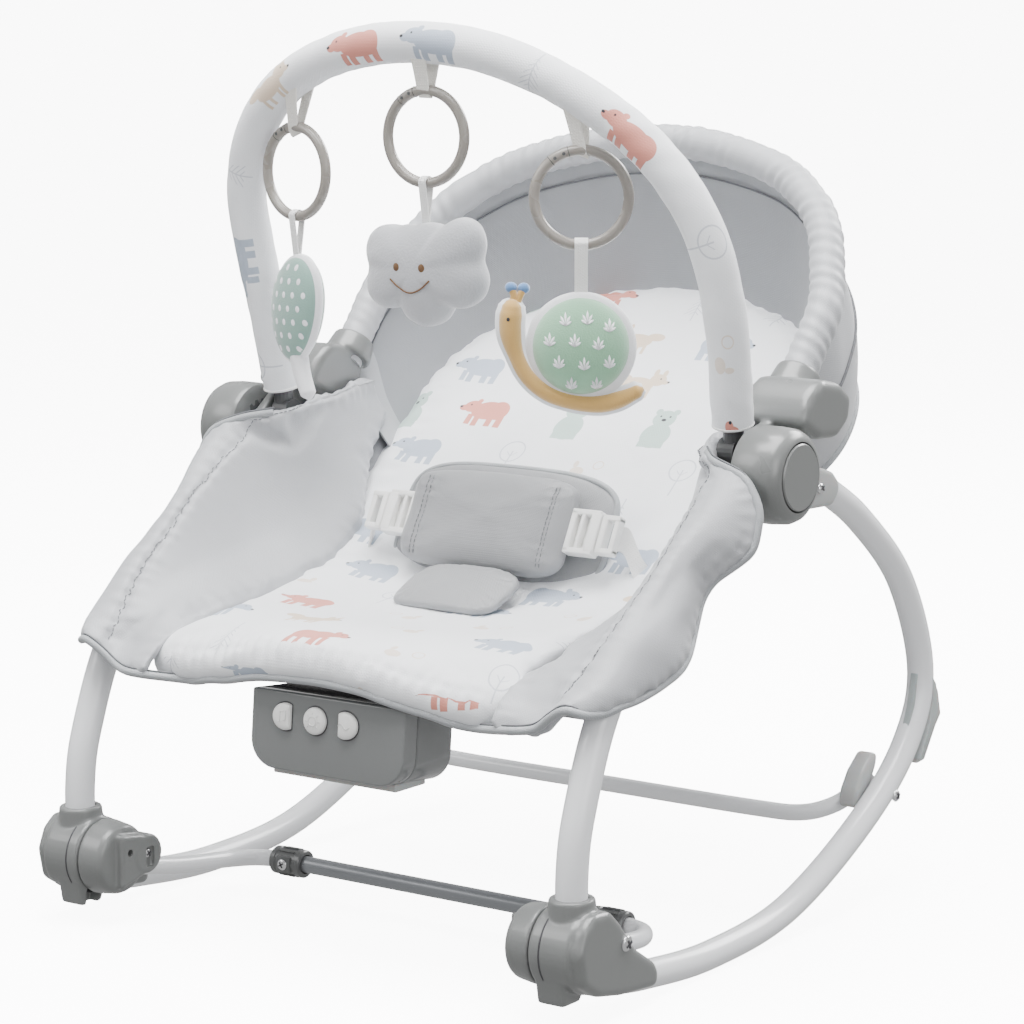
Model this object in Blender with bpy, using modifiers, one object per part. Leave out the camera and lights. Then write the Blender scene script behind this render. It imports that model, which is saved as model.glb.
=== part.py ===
"""Bouncer seat: rocking tube base, reclining hooded backrest, padded seat and toy bar.

Metres, +Z up.  The foot end faces -Y and the head end +Y.  Z = 0 is the floor.
"""
import bpy
import bmesh
from math import radians, sin, cos, pi
from mathutils import Vector, Matrix

# ---------------------------------------------------------------- driving dimensions
GAP = 0.0004                    # air between pieces that touch
RAIL_X = 0.208                  # rocker rail centre lines
RAIL_RADIUS = 0.0093
LEG_X = 0.200                   # seat side tubes and legs
LEG_RADIUS = 0.0100
BAR_RADIUS = 0.0058             # front crossbar and its stubs
REAR_BAR_RADIUS = 0.0058

HUB_Y, HUB_Z = -0.040, 0.311    # recline axis
HUB_RADIUS = 0.031
HUB_INNER_X, HUB_OUTER_X = 0.2035, 0.2390
HUB_BUTTON_RADIUS = 0.0215
HUB_BUTTON_TRAVEL = 0.003

FOOT_Y, FOOT_Z = -0.232, 0.044  # front housings, axis of the front stand
FOOT_RADIUS = 0.026
STAND_X = 0.172                 # stubs of the front stand
STAND_BAR_Y, STAND_BAR_Z = -0.0945, 0.0180
CLAMP_X = 0.134

REAR_BAR_Y, REAR_BAR_Z = 0.1000, 0.0545
REAR_BAR_END_X = 0.190

BACK_ANGLE = radians(40)        # back pad above the horizontal
RIM_ANGLE = radians(51)         # hood rim plane above the horizontal
RIM_Y, RIM_Z = 0.0350, 0.3550   # where the rim tube leaves the shoulders
RIM_HALF_WIDTH = 0.186
RIM_STRAIGHT = 0.060            # straight part of each side of the rim
RIM_LENGTH = 0.198              # from the shoulders to the crown of the rim
RIM_RADIUS = 0.0085
HIP_Y, HIP_Z = -0.040, 0.215    # where seat pad and back pad surfaces meet
BACK_PAD_LENGTH = 0.300
BACK_PAD_HALF_WIDTH = 0.166
WALL = 0.004                    # hood wall

TOY_BAR_Y, TOY_BAR_Z = -0.035, 0.335
TOY_BAR_LEAN = radians(13.5)
TOY_BAR_RADIUS = 0.0130

RING_RADIUS = 0.0300
RING_WIRE = 0.0035

CONTROL_Y, CONTROL_Z = -0.206, 0.1455
CONTROL_SIZE = (0.142, 0.050, 0.052)
CONTROL_TILT = radians(5)       # how far the button face leans back
CONTROL_BUTTON_RADIUS = 0.0082
CONTROL_BUTTON_PITCH = 0.0262

ORIGIN_Y = 0.0211               # from the drawing's own Y to the middle of the bounding box
SIDES = (("left", -1), ("right", 1))


# ---------------------------------------------------------------- scene and materials
def clear_scene():
    for item in list(bpy.data.objects):
        bpy.data.objects.remove(item, do_unlink=True)


def new_collection(name):
    group = bpy.data.collections.new(name)
    bpy.context.scene.collection.children.link(group)
    return group


def make_material(name, colour, roughness, metallic=0.0):
    material = bpy.data.materials.new(name)
    material.use_nodes = True
    shader = material.node_tree.nodes["Principled BSDF"]
    shader.inputs["Base Color"].default_value = (*colour, 1.0)
    shader.inputs["Roughness"].default_value = roughness
    shader.inputs["Metallic"].default_value = metallic
    return material


clear_scene()
PARTS = new_collection("bouncer_seat")
CUTTERS = new_collection("cutters")
WHITE_METAL = make_material("white_metal", (0.86, 0.87, 0.88), 0.25, 0.1)
GREY_METAL = make_material("grey_metal", (0.62, 0.63, 0.66), 0.35, 0.3)
BRIGHT_STEEL = make_material("bright_steel", (0.75, 0.75, 0.76), 0.2, 1.0)
GREY_PLASTIC = make_material("grey_plastic", (0.40, 0.41, 0.41), 0.35)
DARK_PLASTIC = make_material("dark_plastic", (0.24, 0.25, 0.25), 0.4)
WHITE_PLASTIC = make_material("white_plastic", (0.86, 0.86, 0.84), 0.35)
RING_PLASTIC = make_material("ring_plastic", (0.52, 0.49, 0.45), 0.35)
GREY_FABRIC = make_material("grey_fabric", (0.52, 0.54, 0.55), 0.8)
PRINTED_FABRIC = make_material("printed_fabric", (0.88, 0.89, 0.91), 0.85)
MINT_PLUSH = make_material("mint_plush", (0.42, 0.62, 0.50), 0.95)
CREAM_WEBBING = make_material("cream_webbing", (0.80, 0.77, 0.70), 0.85)


# ---------------------------------------------------------------- shape helpers
def add_object(name, data, material, group=None):
    item = bpy.data.objects.new(name, data)
    data.materials.append(material)
    (group or PARTS).objects.link(item)
    return item


def smooth_mesh(item, angle=radians(35)):
    item.data.shade_smooth()
    item.data.set_sharp_from_angle(angle=angle)


def mesh_object(name, bm, material, group=None):
    mesh = bpy.data.meshes.new(name)
    bm.to_mesh(mesh)
    bm.free()
    item = add_object(name, mesh, material, group)
    smooth_mesh(item)
    return item


def as_cutter(item):
    item.hide_render = True
    item.display_type = 'WIRE'
    return item


def boolean(target, other, operation):
    step = target.modifiers.new(operation.lower(), 'BOOLEAN')
    step.operation = operation
    step.solver = 'EXACT'
    step.object = other
    return step


def add_bevel(item, width, segments=2):
    step = item.modifiers.new("rounding", 'BEVEL')
    step.width = width
    step.segments = segments
    step.limit_method = 'ANGLE'
    step.angle_limit = radians(40)
    return item


def block(name, size, place, material, rotation=(0, 0, 0), group=None):
    bm = bmesh.new()
    bmesh.ops.create_cube(bm, size=1.0)
    bmesh.ops.scale(bm, vec=size, verts=bm.verts)
    item = mesh_object(name, bm, material, group)
    item.location = place
    item.rotation_euler = rotation
    return item


def drum(name, radius, low_x, high_x, y, z, material, sides=24, far_radius=None, group=None):
    """A round piece whose axis runs along X; far_radius is its radius at high_x."""
    bm = bmesh.new()
    bmesh.ops.create_cone(bm, cap_ends=True, segments=sides, radius1=radius,
                          radius2=radius if far_radius is None else far_radius,
                          depth=abs(high_x - low_x))
    side = 1 if high_x > low_x else -1
    bmesh.ops.rotate(bm, matrix=Matrix.Rotation(side * pi / 2, 3, 'Y'), verts=bm.verts)
    item = mesh_object(name, bm, material, group)
    item.location = ((low_x + high_x) / 2, y, z)
    return item


def rod(name, start, end, radius, material, sides=16, group=None):
    """A round bar from start to end."""
    start, end = Vector(start), Vector(end)
    span = end - start
    bm = bmesh.new()
    bmesh.ops.create_cone(bm, cap_ends=True, segments=sides, radius1=radius,
                          radius2=radius, depth=span.length)
    item = mesh_object(name, bm, material, group)
    item.location = (start + end) / 2
    item.rotation_euler = span.to_track_quat('Z', 'Y').to_euler()
    return item


def smooth_route(points, steps):
    """Points on a smooth curve through the given points, steps to each stretch."""
    points = [Vector(p) for p in points]
    ends = [2 * points[0] - points[1]] + points + [2 * points[-1] - points[-2]]
    route = []
    for i in range(1, len(ends) - 2):
        a, b, c, d = ends[i - 1:i + 3]
        for k in range(steps):
            t = k / steps
            route.append(0.5 * (2 * b + (c - a) * t + (2 * a - 5 * b + 4 * c - d) * t ** 2
                                + (3 * b - a - 3 * c + d) * t ** 3))
    route.append(points[-1])
    return route


def tube(name, route, radius, material, rounds=4, group=None):
    """A round tube or bar along a route, as a curve with filled ends."""
    curve = bpy.data.curves.new(name, 'CURVE')
    curve.dimensions = '3D'
    curve.bevel_depth = radius
    curve.bevel_resolution = rounds
    curve.use_fill_caps = True
    spline = curve.splines.new('POLY')
    spline.points.add(len(route) - 1)
    for point, place in zip(spline.points, route):
        point.co = (*place, 1.0)
    return add_object(name, curve, material, group)


def as_mesh(item):
    """The same object as a welded mesh, so that it can be cut, joined or used as a cutter."""
    bpy.context.view_layer.update()
    shape = item.evaluated_get(bpy.context.evaluated_depsgraph_get())
    mesh = bpy.data.meshes.new_from_object(shape)
    bm = bmesh.new()
    bm.from_mesh(mesh)
    bmesh.ops.remove_doubles(bm, verts=bm.verts, dist=0.00001)
    bm.to_mesh(mesh)
    bm.free()
    name, group, matrix = item.name, item.users_collection[0], item.matrix_world.copy()
    bpy.data.objects.remove(item, do_unlink=True)
    welded = bpy.data.objects.new(name, mesh)
    welded.matrix_world = matrix
    group.objects.link(welded)
    smooth_mesh(welded)
    return welded


def side_plate(name, outline, low_x, high_x, material, group=None):
    """A plate with an outline in (Y, Z), from low_x to high_x."""
    curve = bpy.data.curves.new(name, 'CURVE')
    curve.dimensions = '2D'
    curve.fill_mode = 'BOTH'
    curve.extrude = abs(high_x - low_x) / 2
    spline = curve.splines.new('POLY')
    spline.points.add(len(outline) - 1)
    for point, (y, z) in zip(spline.points, outline):
        point.co = (y, z, 0, 1.0)
    spline.use_cyclic_u = True
    item = add_object(name, curve, material, group)
    item.rotation_euler = (pi / 2, 0, pi / 2)
    item.location = ((low_x + high_x) / 2, 0, 0)
    return as_mesh(item)


def socket(target, start, end, radius):
    """Cuts a round socket in target, along the line from start to end."""
    cutter = as_cutter(rod(target.name + "_socket", start, end, radius + GAP,
                           DARK_PLASTIC, group=CUTTERS))
    boolean(target, cutter, 'DIFFERENCE')


def join(target, other_parts):
    """Joins helper shapes to the target so that they make one solid."""
    for other in other_parts:
        boolean(target, as_cutter(other), 'UNION')


# ---------------------------------------------------------------- routes of the tubes
def rail_route(side):
    profile = [(-0.209, 0.0205), (-0.170, 0.0145), (-0.093, RAIL_RADIUS), (0.000, 0.0185),
               (0.095, 0.0570), (0.155, 0.1000), (0.1755, 0.1500), (0.145, 0.2170),
               (0.088, 0.2660), (0.036, 0.2950)]
    return smooth_route([(side * RAIL_X, y, z) for y, z in profile], 4)


def leg_route(side):
    profile = [(-0.2335, 0.052), (-0.2345, 0.090), (-0.2270, 0.127), (-0.2000, 0.186),
               (-0.150, 0.236), (-0.100, 0.2740), (-0.0670, 0.2955)]
    return smooth_route([(side * LEG_X, y, z) for y, z in profile], 3)


def stub_route(side):
    profile = [(STAND_X, FOOT_Y + 0.020, 0.0340), (STAND_X, -0.165, 0.0250),
               (STAND_X, -0.122, 0.0195), (STAND_X - 0.009, -0.1010, STAND_BAR_Z),
               (STAND_X - 0.024, STAND_BAR_Y, STAND_BAR_Z), (CLAMP_X + 0.008, STAND_BAR_Y, STAND_BAR_Z),
               (CLAMP_X + 0.002, STAND_BAR_Y, STAND_BAR_Z)]
    return smooth_route([(side * x, y, z) for x, y, z in profile], 3)


def rear_bar_route():
    half = [(0.0, REAR_BAR_Y, REAR_BAR_Z), (0.130, REAR_BAR_Y, REAR_BAR_Z),
            (0.165, REAR_BAR_Y + 0.004, REAR_BAR_Z + 0.003),
            (0.184, REAR_BAR_Y + 0.017, REAR_BAR_Z + 0.012),
            (REAR_BAR_END_X, REAR_BAR_Y + 0.036, REAR_BAR_Z + 0.026)]
    mirrored = [(-x, y, z) for x, y, z in reversed(half[1:])]
    return smooth_route(mirrored + half, 3)


def arch_outline(half_width, straight, length, steps, narrowing=0.0):
    """Half-ellipse on two straight sides, as (x, distance along the sides)."""
    outline = [(half_width - narrowing, 0.0)]
    for k in range(steps + 1):
        angle = pi * k / steps
        outline.append((half_width * cos(angle), straight + (length - straight) * sin(angle)))
    outline.append((-half_width + narrowing, 0.0))
    return outline


def rim_place(x, along, depth=0.0):
    """A point in the hood's rim plane, or depth below it."""
    y = RIM_Y + along * cos(RIM_ANGLE) + depth * sin(RIM_ANGLE)
    z = RIM_Z + along * sin(RIM_ANGLE) - depth * cos(RIM_ANGLE)
    return Vector((x, y, z))


def back_place(x, along, depth=0.0):
    """A point on the back pad's surface, or depth below it."""
    y = HIP_Y + along * cos(BACK_ANGLE) + depth * sin(BACK_ANGLE)
    z = HIP_Z + along * sin(BACK_ANGLE) - depth * cos(BACK_ANGLE)
    return Vector((x, y, z))


def toy_bar_place(x, height, forward=0.0):
    """A point in the toy bar's plane, height above its feet."""
    y = TOY_BAR_Y - height * sin(TOY_BAR_LEAN) - forward * cos(TOY_BAR_LEAN)
    z = TOY_BAR_Z + height * cos(TOY_BAR_LEAN) - forward * sin(TOY_BAR_LEAN)
    return Vector((x, y, z))


# ---------------------------------------------------------------- rocking base
def make_rails():
    for word, side in SIDES:
        tube("rocker_rail_" + word, rail_route(side), RAIL_RADIUS, WHITE_METAL)
        stop = side_plate("rail_stop_" + word,
                          [(0.1865, 0.156), (0.196, 0.137), (0.196, 0.118), (0.172, 0.088),
                           (0.1650, 0.0905), (0.1790, 0.113), (0.1860, 0.132)],
                          side * RAIL_X - 0.010, side * RAIL_X + 0.010, GREY_PLASTIC)
        add_bevel(stop, 0.0015, 1)
        rail_hole = tube(stop.name + "_rail_clearance", rail_route(side), RAIL_RADIUS + GAP,
                         DARK_PLASTIC, group=CUTTERS)
        boolean(stop, as_cutter(as_mesh(rail_hole)), 'DIFFERENCE')


def make_legs():
    for word, side in SIDES:
        tube("seat_tube_" + word, leg_route(side), LEG_RADIUS, WHITE_METAL)
    front_y, front_z = -0.1985, 0.1835
    reach = LEG_X - LEG_RADIUS - 2 * GAP
    rod("seat_cross_tube", (-reach, front_y, front_z), (reach, front_y, front_z), 0.0070,
        WHITE_METAL)


def make_front_housings():
    for word, side in SIDES:
        housing = drum("front_housing_" + word, FOOT_RADIUS, side * 0.1830, side * 0.2220,
                       FOOT_Y, FOOT_Z, GREY_PLASTIC, far_radius=FOOT_RADIUS * 0.93)
        collar = rod("collar_" + word, (side * LEG_X, -0.2340, 0.050),
                     (side * LEG_X, -0.2346, 0.0745), 0.0150, GREY_PLASTIC, group=CUTTERS)
        fin = side_plate("fin_" + word, [(-0.232, 0.060), (-0.212, 0.056), (-0.174, 0.0235),
                                         (-0.172, 0.0100), (-0.210, 0.0110), (-0.232, 0.018)],
                         side * 0.1950, side * 0.2210, GREY_PLASTIC, CUTTERS)
        peg = block("peg_" + word, (0.020, 0.022, 0.034), (side * 0.1950, -0.2400, 0.0290),
                    GREY_PLASTIC, group=CUTTERS)
        join(housing, [collar, fin, peg])
        socket(housing, (side * LEG_X, -0.2336, 0.0505), (side * LEG_X, -0.2350, 0.090),
               LEG_RADIUS)
        socket(housing, (side * RAIL_X, -0.2100, 0.0206), (side * RAIL_X, -0.160, 0.0130),
               RAIL_RADIUS + 0.0006)


def make_front_stand():
    for word, side in SIDES:
        cap = drum("stand_cap_" + word, FOOT_RADIUS * 0.97, side * 0.1825, side * 0.1620,
                   FOOT_Y, FOOT_Z, GREY_PLASTIC, far_radius=FOOT_RADIUS * 0.86)
        slot = block("slot_" + word, (0.006, 0.004, 0.014),
                     (side * 0.1610, FOOT_Y + 0.008, FOOT_Z + 0.004), DARK_PLASTIC, group=CUTTERS)
        boolean(cap, as_cutter(slot), 'DIFFERENCE')
        socket(cap, (side * STAND_X, FOOT_Y + 0.019, 0.0343), (side * STAND_X, -0.190, 0.0295),
               BAR_RADIUS + 0.0006)
        tube("stand_stub_" + word, stub_route(side), BAR_RADIUS, WHITE_METAL)
        clamp = drum("stand_clamp_" + word, 0.0092, side * (CLAMP_X - 0.012),
                     side * (CLAMP_X + 0.012), STAND_BAR_Y, STAND_BAR_Z, DARK_PLASTIC, sides=20)
        socket(clamp, (side * (CLAMP_X - 0.030), STAND_BAR_Y, STAND_BAR_Z),
               (side * (CLAMP_X + 0.030), STAND_BAR_Y, STAND_BAR_Z), BAR_RADIUS + 0.0004)
        drum_screw("clamp_screw_" + word, side * CLAMP_X)
    reach = CLAMP_X - 0.001
    rod("stand_crossbar", (-reach, STAND_BAR_Y, STAND_BAR_Z), (reach, STAND_BAR_Y, STAND_BAR_Z),
        BAR_RADIUS, GREY_METAL)


def drum_screw(name, x):
    """A pan head on the front of a clamp."""
    front = STAND_BAR_Y - 0.0092 - GAP
    rod(name, (x, front, STAND_BAR_Z), (x, front - 0.0016, STAND_BAR_Z), 0.0036, BRIGHT_STEEL)


def make_rear_bar():
    tube("rear_bar", rear_bar_route(), REAR_BAR_RADIUS, WHITE_METAL)
    for word, side in SIDES:
        saddle = side_plate("rear_saddle_" + word,
                            [(0.1110, 0.1030), (0.1235, 0.1215), (0.1330, 0.1195),
                             (0.1330, 0.1085), (0.1270, 0.0960), (0.1130, 0.0930)],
                            side * (REAR_BAR_END_X - 0.0070), side * (REAR_BAR_END_X + 0.0070),
                            GREY_PLASTIC)
        add_bevel(saddle, 0.0012, 1)


# ---------------------------------------------------------------- hubs
def make_hubs():
    for word, side in SIDES:
        shell = drum("hub_shell_" + word, HUB_RADIUS, side * HUB_INNER_X, side * HUB_OUTER_X,
                     HUB_Y, HUB_Z, GREY_PLASTIC, sides=32)
        add_bevel(shell, 0.0050, 2)
        lug = side_plate("lug_" + word, [(-0.0150, 0.2860), (0.0400, 0.2800), (0.0455, 0.2930),
                                         (0.0380, 0.3060), (-0.0150, 0.3160)],
                         side * (RAIL_X - 0.0038), side * (RAIL_X + 0.0125), GREY_PLASTIC, CUTTERS)
        boss = rod("boss_" + word, (side * 0.2030, -0.0580, 0.3010), (side * 0.2030, -0.0800, 0.2865),
                   0.0130, GREY_PLASTIC, 20, CUTTERS)
        join(shell, [lug, boss])
        pocket = drum("pocket_" + word, HUB_BUTTON_RADIUS + 0.0006, side * 0.2290,
                      side * 0.2500, HUB_Y, HUB_Z, DARK_PLASTIC, sides=32, group=CUTTERS)
        inner_pocket = drum("inner_pocket_" + word, 0.0210, side * 0.1950, side * 0.2130,
                            HUB_Y, HUB_Z, DARK_PLASTIC, sides=24, group=CUTTERS)
        for cutter in (pocket, inner_pocket):
            boolean(shell, as_cutter(cutter), 'DIFFERENCE')
        socket(shell, (side * LEG_X, -0.0662, 0.2960), (side * LEG_X, -0.1000, 0.2740),
               LEG_RADIUS + 0.0006)
        socket(shell, (side * RAIL_X, 0.0350, 0.2955), (side * RAIL_X, 0.0900, 0.2650),
               RAIL_RADIUS + 0.0006)
        button = drum("hub_button_" + word, HUB_BUTTON_RADIUS, side * 0.2335, side * 0.2405,
                      HUB_Y, HUB_Z, GREY_PLASTIC, sides=32)
        add_bevel(button, 0.0012, 2)
        make_ratchet(word, side)


def make_ratchet(word, side):
    """A toothed disc on the backrest side, inside the hub shell."""
    teeth = 18
    outline = []
    for k in range(teeth):
        for share, radius in ((0.0, 0.0200), (0.35, 0.0200), (0.5, 0.0172), (0.85, 0.0172)):
            angle = 2 * pi * (k + share) / teeth
            outline.append((HUB_Y + radius * cos(angle), HUB_Z + radius * sin(angle)))
    side_plate("recline_ratchet_" + word, outline, side * 0.2032, side * 0.2110, GREY_METAL)


# ---------------------------------------------------------------- backrest
def make_shoulders():
    for word, side in SIDES:
        shoulder = side_plate("shoulder_" + word,
                              [(-0.0060, 0.3380), (0.0020, 0.3540), (0.0240, 0.3640),
                               (0.0500, 0.3540), (0.0400, 0.3350), (0.0040, 0.3280)],
                              side * 0.1735, side * 0.2280, GREY_PLASTIC)
        add_bevel(shoulder, 0.0050, 2)
        arm = side_plate("arm_" + word, [(-0.0520, 0.3010), (-0.0400, 0.2960), (-0.0280, 0.3010),
                                         (0.0300, 0.3400), (0.0150, 0.3500), (-0.0500, 0.3230)],
                         side * 0.1930, side * 0.2025, GREY_PLASTIC, CUTTERS)
        join(shoulder, [arm])
        base = rim_place(side * RIM_HALF_WIDTH, 0.0035)
        socket(shoulder, base, rim_place(side * RIM_HALF_WIDTH, 0.060), RIM_RADIUS + 0.0006)


def make_rim():
    outline = arch_outline(RIM_HALF_WIDTH, RIM_STRAIGHT, RIM_LENGTH, 24)
    outline[0] = (RIM_HALF_WIDTH, 0.0050)
    outline[-1] = (-RIM_HALF_WIDTH, 0.0050)
    tube("rim_tube", [rim_place(x, along) for x, along in outline], RIM_RADIUS, WHITE_METAL)


def hood_rows():
    """Rows of points down the hood: just under the rim tube, then to the back panel's edge."""
    drop = RIM_RADIUS + WALL + 0.001
    rim_row = [rim_place(x, along, drop) for x, along in
               arch_outline(RIM_HALF_WIDTH, RIM_STRAIGHT, RIM_LENGTH, 14)]
    rim_row[0] = rim_place(RIM_HALF_WIDTH, 0.0260, drop)
    rim_row[-1] = rim_place(-RIM_HALF_WIDTH, 0.0260, drop)
    depth = 0.0320
    edge_row = [back_place(x, along, depth) for x, along in
                arch_outline(BACK_PAD_HALF_WIDTH + 0.004, 0.180, BACK_PAD_LENGTH + 0.004, 14)]
    edge_row[0] = back_place(BACK_PAD_HALF_WIDTH + 0.004, 0.0480, depth)
    edge_row[-1] = back_place(-BACK_PAD_HALF_WIDTH - 0.004, 0.0480, depth)
    return rim_row, edge_row


def make_hood():
    """An open tub: side and head walls, and a back panel, with one wall thickness."""
    rim_row, edge_row = hood_rows()
    bm = bmesh.new()
    upper = [bm.verts.new(p) for p in rim_row]
    lower = [bm.verts.new(p) for p in edge_row]
    for k in range(len(upper) - 1):
        bm.faces.new((upper[k], lower[k], lower[k + 1], upper[k + 1]))
    bm.faces.new(lower)
    bmesh.ops.recalc_face_normals(bm, faces=bm.faces)
    hood = mesh_object("hood_shell", bm, GREY_FABRIC)
    wall = hood.modifiers.new("wall", 'SOLIDIFY')
    wall.thickness = WALL
    wall.offset = 0.0
    wall.use_even_offset = True
    return hood


def make_back_pad():
    """A plain slab with the pad's arched outline."""
    thickness = 0.0150
    outline = arch_outline(BACK_PAD_HALF_WIDTH - 0.006, 0.180, BACK_PAD_LENGTH - 0.008, 16)
    outline[0] = (outline[0][0], 0.0520)
    outline[-1] = (outline[-1][0], 0.0520)
    bm = bmesh.new()
    face = bm.faces.new([bm.verts.new(back_place(x, along)) for x, along in outline])
    grown = bmesh.ops.extrude_face_region(bm, geom=[face])
    shift = back_place(0, 0, thickness) - back_place(0, 0)
    moved = [v for v in grown["geom"] if isinstance(v, bmesh.types.BMVert)]
    bmesh.ops.translate(bm, vec=shift, verts=moved)
    bmesh.ops.recalc_face_normals(bm, faces=bm.faces)
    mesh_object("back_pad", bm, PRINTED_FABRIC)


# ---------------------------------------------------------------- seat
def make_seat_pad():
    profile = [(-0.2440, 0.1800), (-0.2300, 0.1945), (-0.1800, 0.2020), (-0.0900, 0.2030),
               (-0.0350, 0.2030), (-0.0300, 0.1960), (-0.0350, 0.1890), (-0.0900, 0.1850),
               (-0.1750, 0.1840), (-0.1860, 0.1925), (-0.2150, 0.1915), (-0.2360, 0.1760)]
    pad = side_plate("seat_pad", profile, -0.1270, 0.1270, PRINTED_FABRIC)
    add_bevel(pad, 0.0030, 1)


def bolster_rows(side):
    """Across each station: inner edge, ridge over the tube, and outer lower edge."""
    inner = [(0.142, -0.226, 0.1790), (0.136, -0.200, 0.1930), (0.133, -0.150, 0.2010),
             (0.133, -0.095, 0.2060), (0.140, -0.066, 0.2320)]
    ridge = [(0.199, -0.2300, 0.1930), (0.199, -0.1980, 0.2085), (0.199, -0.1540, 0.2520),
             (0.199, -0.1080, 0.2900), (0.197, -0.0900, 0.3040)]
    outer = [(0.2190, -0.2160, 0.1840), (0.2230, -0.1780, 0.1900), (0.2250, -0.1360, 0.2120),
             (0.2190, -0.1100, 0.2480), (0.2160, -0.0990, 0.2660)]
    rows = []
    for a, b, c in zip(inner, ridge, outer):
        a, b, c = Vector(a), Vector(b), Vector(c)
        shoulder = b + Vector((0.014, 0.004, -0.004))
        rows.append([Vector((side * p.x, p.y, p.z)) for p in (a, a.lerp(b, 0.55), b, shoulder, c)])
    return rows


def make_bolsters():
    for word, side in SIDES:
        bm = bmesh.new()
        rows = [[bm.verts.new(p) for p in row] for row in bolster_rows(side)]
        for near, far in zip(rows, rows[1:]):
            for k in range(len(near) - 1):
                bm.faces.new((near[k], near[k + 1], far[k + 1], far[k]))
        bmesh.ops.recalc_face_normals(bm, faces=bm.faces)
        if sum(face.normal.z for face in bm.faces) < 0:
            bmesh.ops.reverse_faces(bm, faces=bm.faces)
        bolster = mesh_object("bolster_" + word, bm, GREY_FABRIC)
        padding = bolster.modifiers.new("padding", 'SOLIDIFY')
        padding.thickness = 0.0060
        padding.offset = 1.0
        padding.use_even_offset = True


def make_belt():
    lean = radians(27)
    centre = Vector((0.0, -0.0430, 0.2560))
    back = Vector((0.0, cos(lean), -sin(lean)))
    turn = (-lean, 0, 0)
    pad = block("belt_pad", (0.132, 0.018, 0.066), centre + back * 0.010, GREY_FABRIC, turn)
    add_bevel(pad, 0.0060, 2)
    for word, side in SIDES:
        at = centre + back * 0.008
        female = block("buckle_socket_" + word, (0.016, 0.009, 0.034),
                       at + Vector((side * 0.0750, 0, 0)), WHITE_PLASTIC, turn)
        add_bevel(female, 0.0015, 1)
        male = block("buckle_tongue_" + word, (0.016, 0.006, 0.028),
                     at + Vector((side * 0.0920, 0, 0)), WHITE_PLASTIC, turn)
        add_bevel(male, 0.0015, 1)
    crotch = side_plate("crotch_strap", [(-0.0950, 0.2040), (-0.0880, 0.2130), (-0.0680, 0.2220),
                                         (-0.0640, 0.2180), (-0.0760, 0.2060)],
                        -0.0350, 0.0350, GREY_FABRIC)
    add_bevel(crotch, 0.0010, 1)


# ---------------------------------------------------------------- vibration unit
def control_place(x, forward, up):
    """A point on the unit: forward is out of its button face, up is along that face."""
    y = CONTROL_Y - forward * cos(CONTROL_TILT) + up * sin(CONTROL_TILT)
    z = CONTROL_Z + forward * sin(CONTROL_TILT) + up * cos(CONTROL_TILT)
    return Vector((x, y, z))


def make_control_unit():
    width, depth, height = CONTROL_SIZE
    turn = (-CONTROL_TILT, 0, 0)
    case = block("control_case", (width, depth, height), control_place(0, 0, 0), GREY_PLASTIC, turn)
    add_bevel(case, 0.0100, 3)
    hollow = block("case_hollow", (width - 0.008, depth - 0.008, height - 0.008),
                   control_place(0, 0, 0), DARK_PLASTIC, turn, CUTTERS)
    add_bevel(hollow, 0.0070, 2)
    mouth = block("case_mouth", (width - 0.024, depth - 0.018, 0.020),
                  control_place(0, 0, -height / 2), DARK_PLASTIC, turn, CUTTERS)
    boolean(case, as_cutter(hollow), 'DIFFERENCE')
    boolean(case, as_cutter(mouth), 'DIFFERENCE')
    front = depth / 2
    for index, word in enumerate(("music", "power", "vibration")):
        x = (index - 1) * CONTROL_BUTTON_PITCH
        hole = rod("button_hole_" + word, control_place(x, front - 0.009, 0.006),
                   control_place(x, front + 0.006, 0.006), CONTROL_BUTTON_RADIUS + 0.0004,
                   DARK_PLASTIC, group=CUTTERS)
        boolean(case, as_cutter(hole), 'DIFFERENCE')
        rod("button_" + word, control_place(x, front - 0.0035, 0.006),
            control_place(x, front + 0.0022, 0.006), CONTROL_BUTTON_RADIUS, WHITE_PLASTIC)
    door = block("battery_door", (width - 0.025, depth - 0.019, 0.0030),
                 control_place(0, 0, -height / 2 + 0.0015), WHITE_PLASTIC, turn)
    add_bevel(door, 0.0008, 1)
    rod("vibration_motor", control_place(-0.052, -0.004, -0.002),
        control_place(-0.028, -0.004, -0.002), 0.0085, BRIGHT_STEEL)
    rod("battery_cell", control_place(-0.014, -0.004, -0.008),
        control_place(0.036, -0.004, -0.008), 0.0072, DARK_PLASTIC)


# ---------------------------------------------------------------- toy bar and toys
def toy_bar_route():
    """The soft arch leans a little to the left at its crown."""
    outline = [(0.1860, 0.0060), (0.1900, 0.0700), (0.1860, 0.1180), (0.1730, 0.1530),
               (0.1500, 0.1840), (0.1180, 0.2090), (0.0730, 0.2330), (0.0200, 0.2490),
               (-0.0400, 0.2525), (-0.0950, 0.2430), (-0.1400, 0.2220), (-0.1710, 0.1910),
               (-0.1885, 0.1500), (-0.1900, 0.1050), (-0.1870, 0.0540), (-0.1860, 0.0060)]
    return smooth_route([toy_bar_place(x, height) for x, height in outline], 2)


def make_toy_bar():
    tube("toy_bar", toy_bar_route(), TOY_BAR_RADIUS, PRINTED_FABRIC)
    for word, side in SIDES:
        foot = drum("toy_bar_foot_" + word, 0.0090, side * 0.1780, side * 0.1905,
                    TOY_BAR_Y, TOY_BAR_Z - 0.0120, DARK_PLASTIC, sides=20)
        neck = rod("neck_" + word, (side * 0.1860, TOY_BAR_Y, TOY_BAR_Z - 0.012),
                   toy_bar_place(side * 0.1860, 0.0042), 0.0068, DARK_PLASTIC, group=CUTTERS)
        join(foot, [neck])


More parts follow.
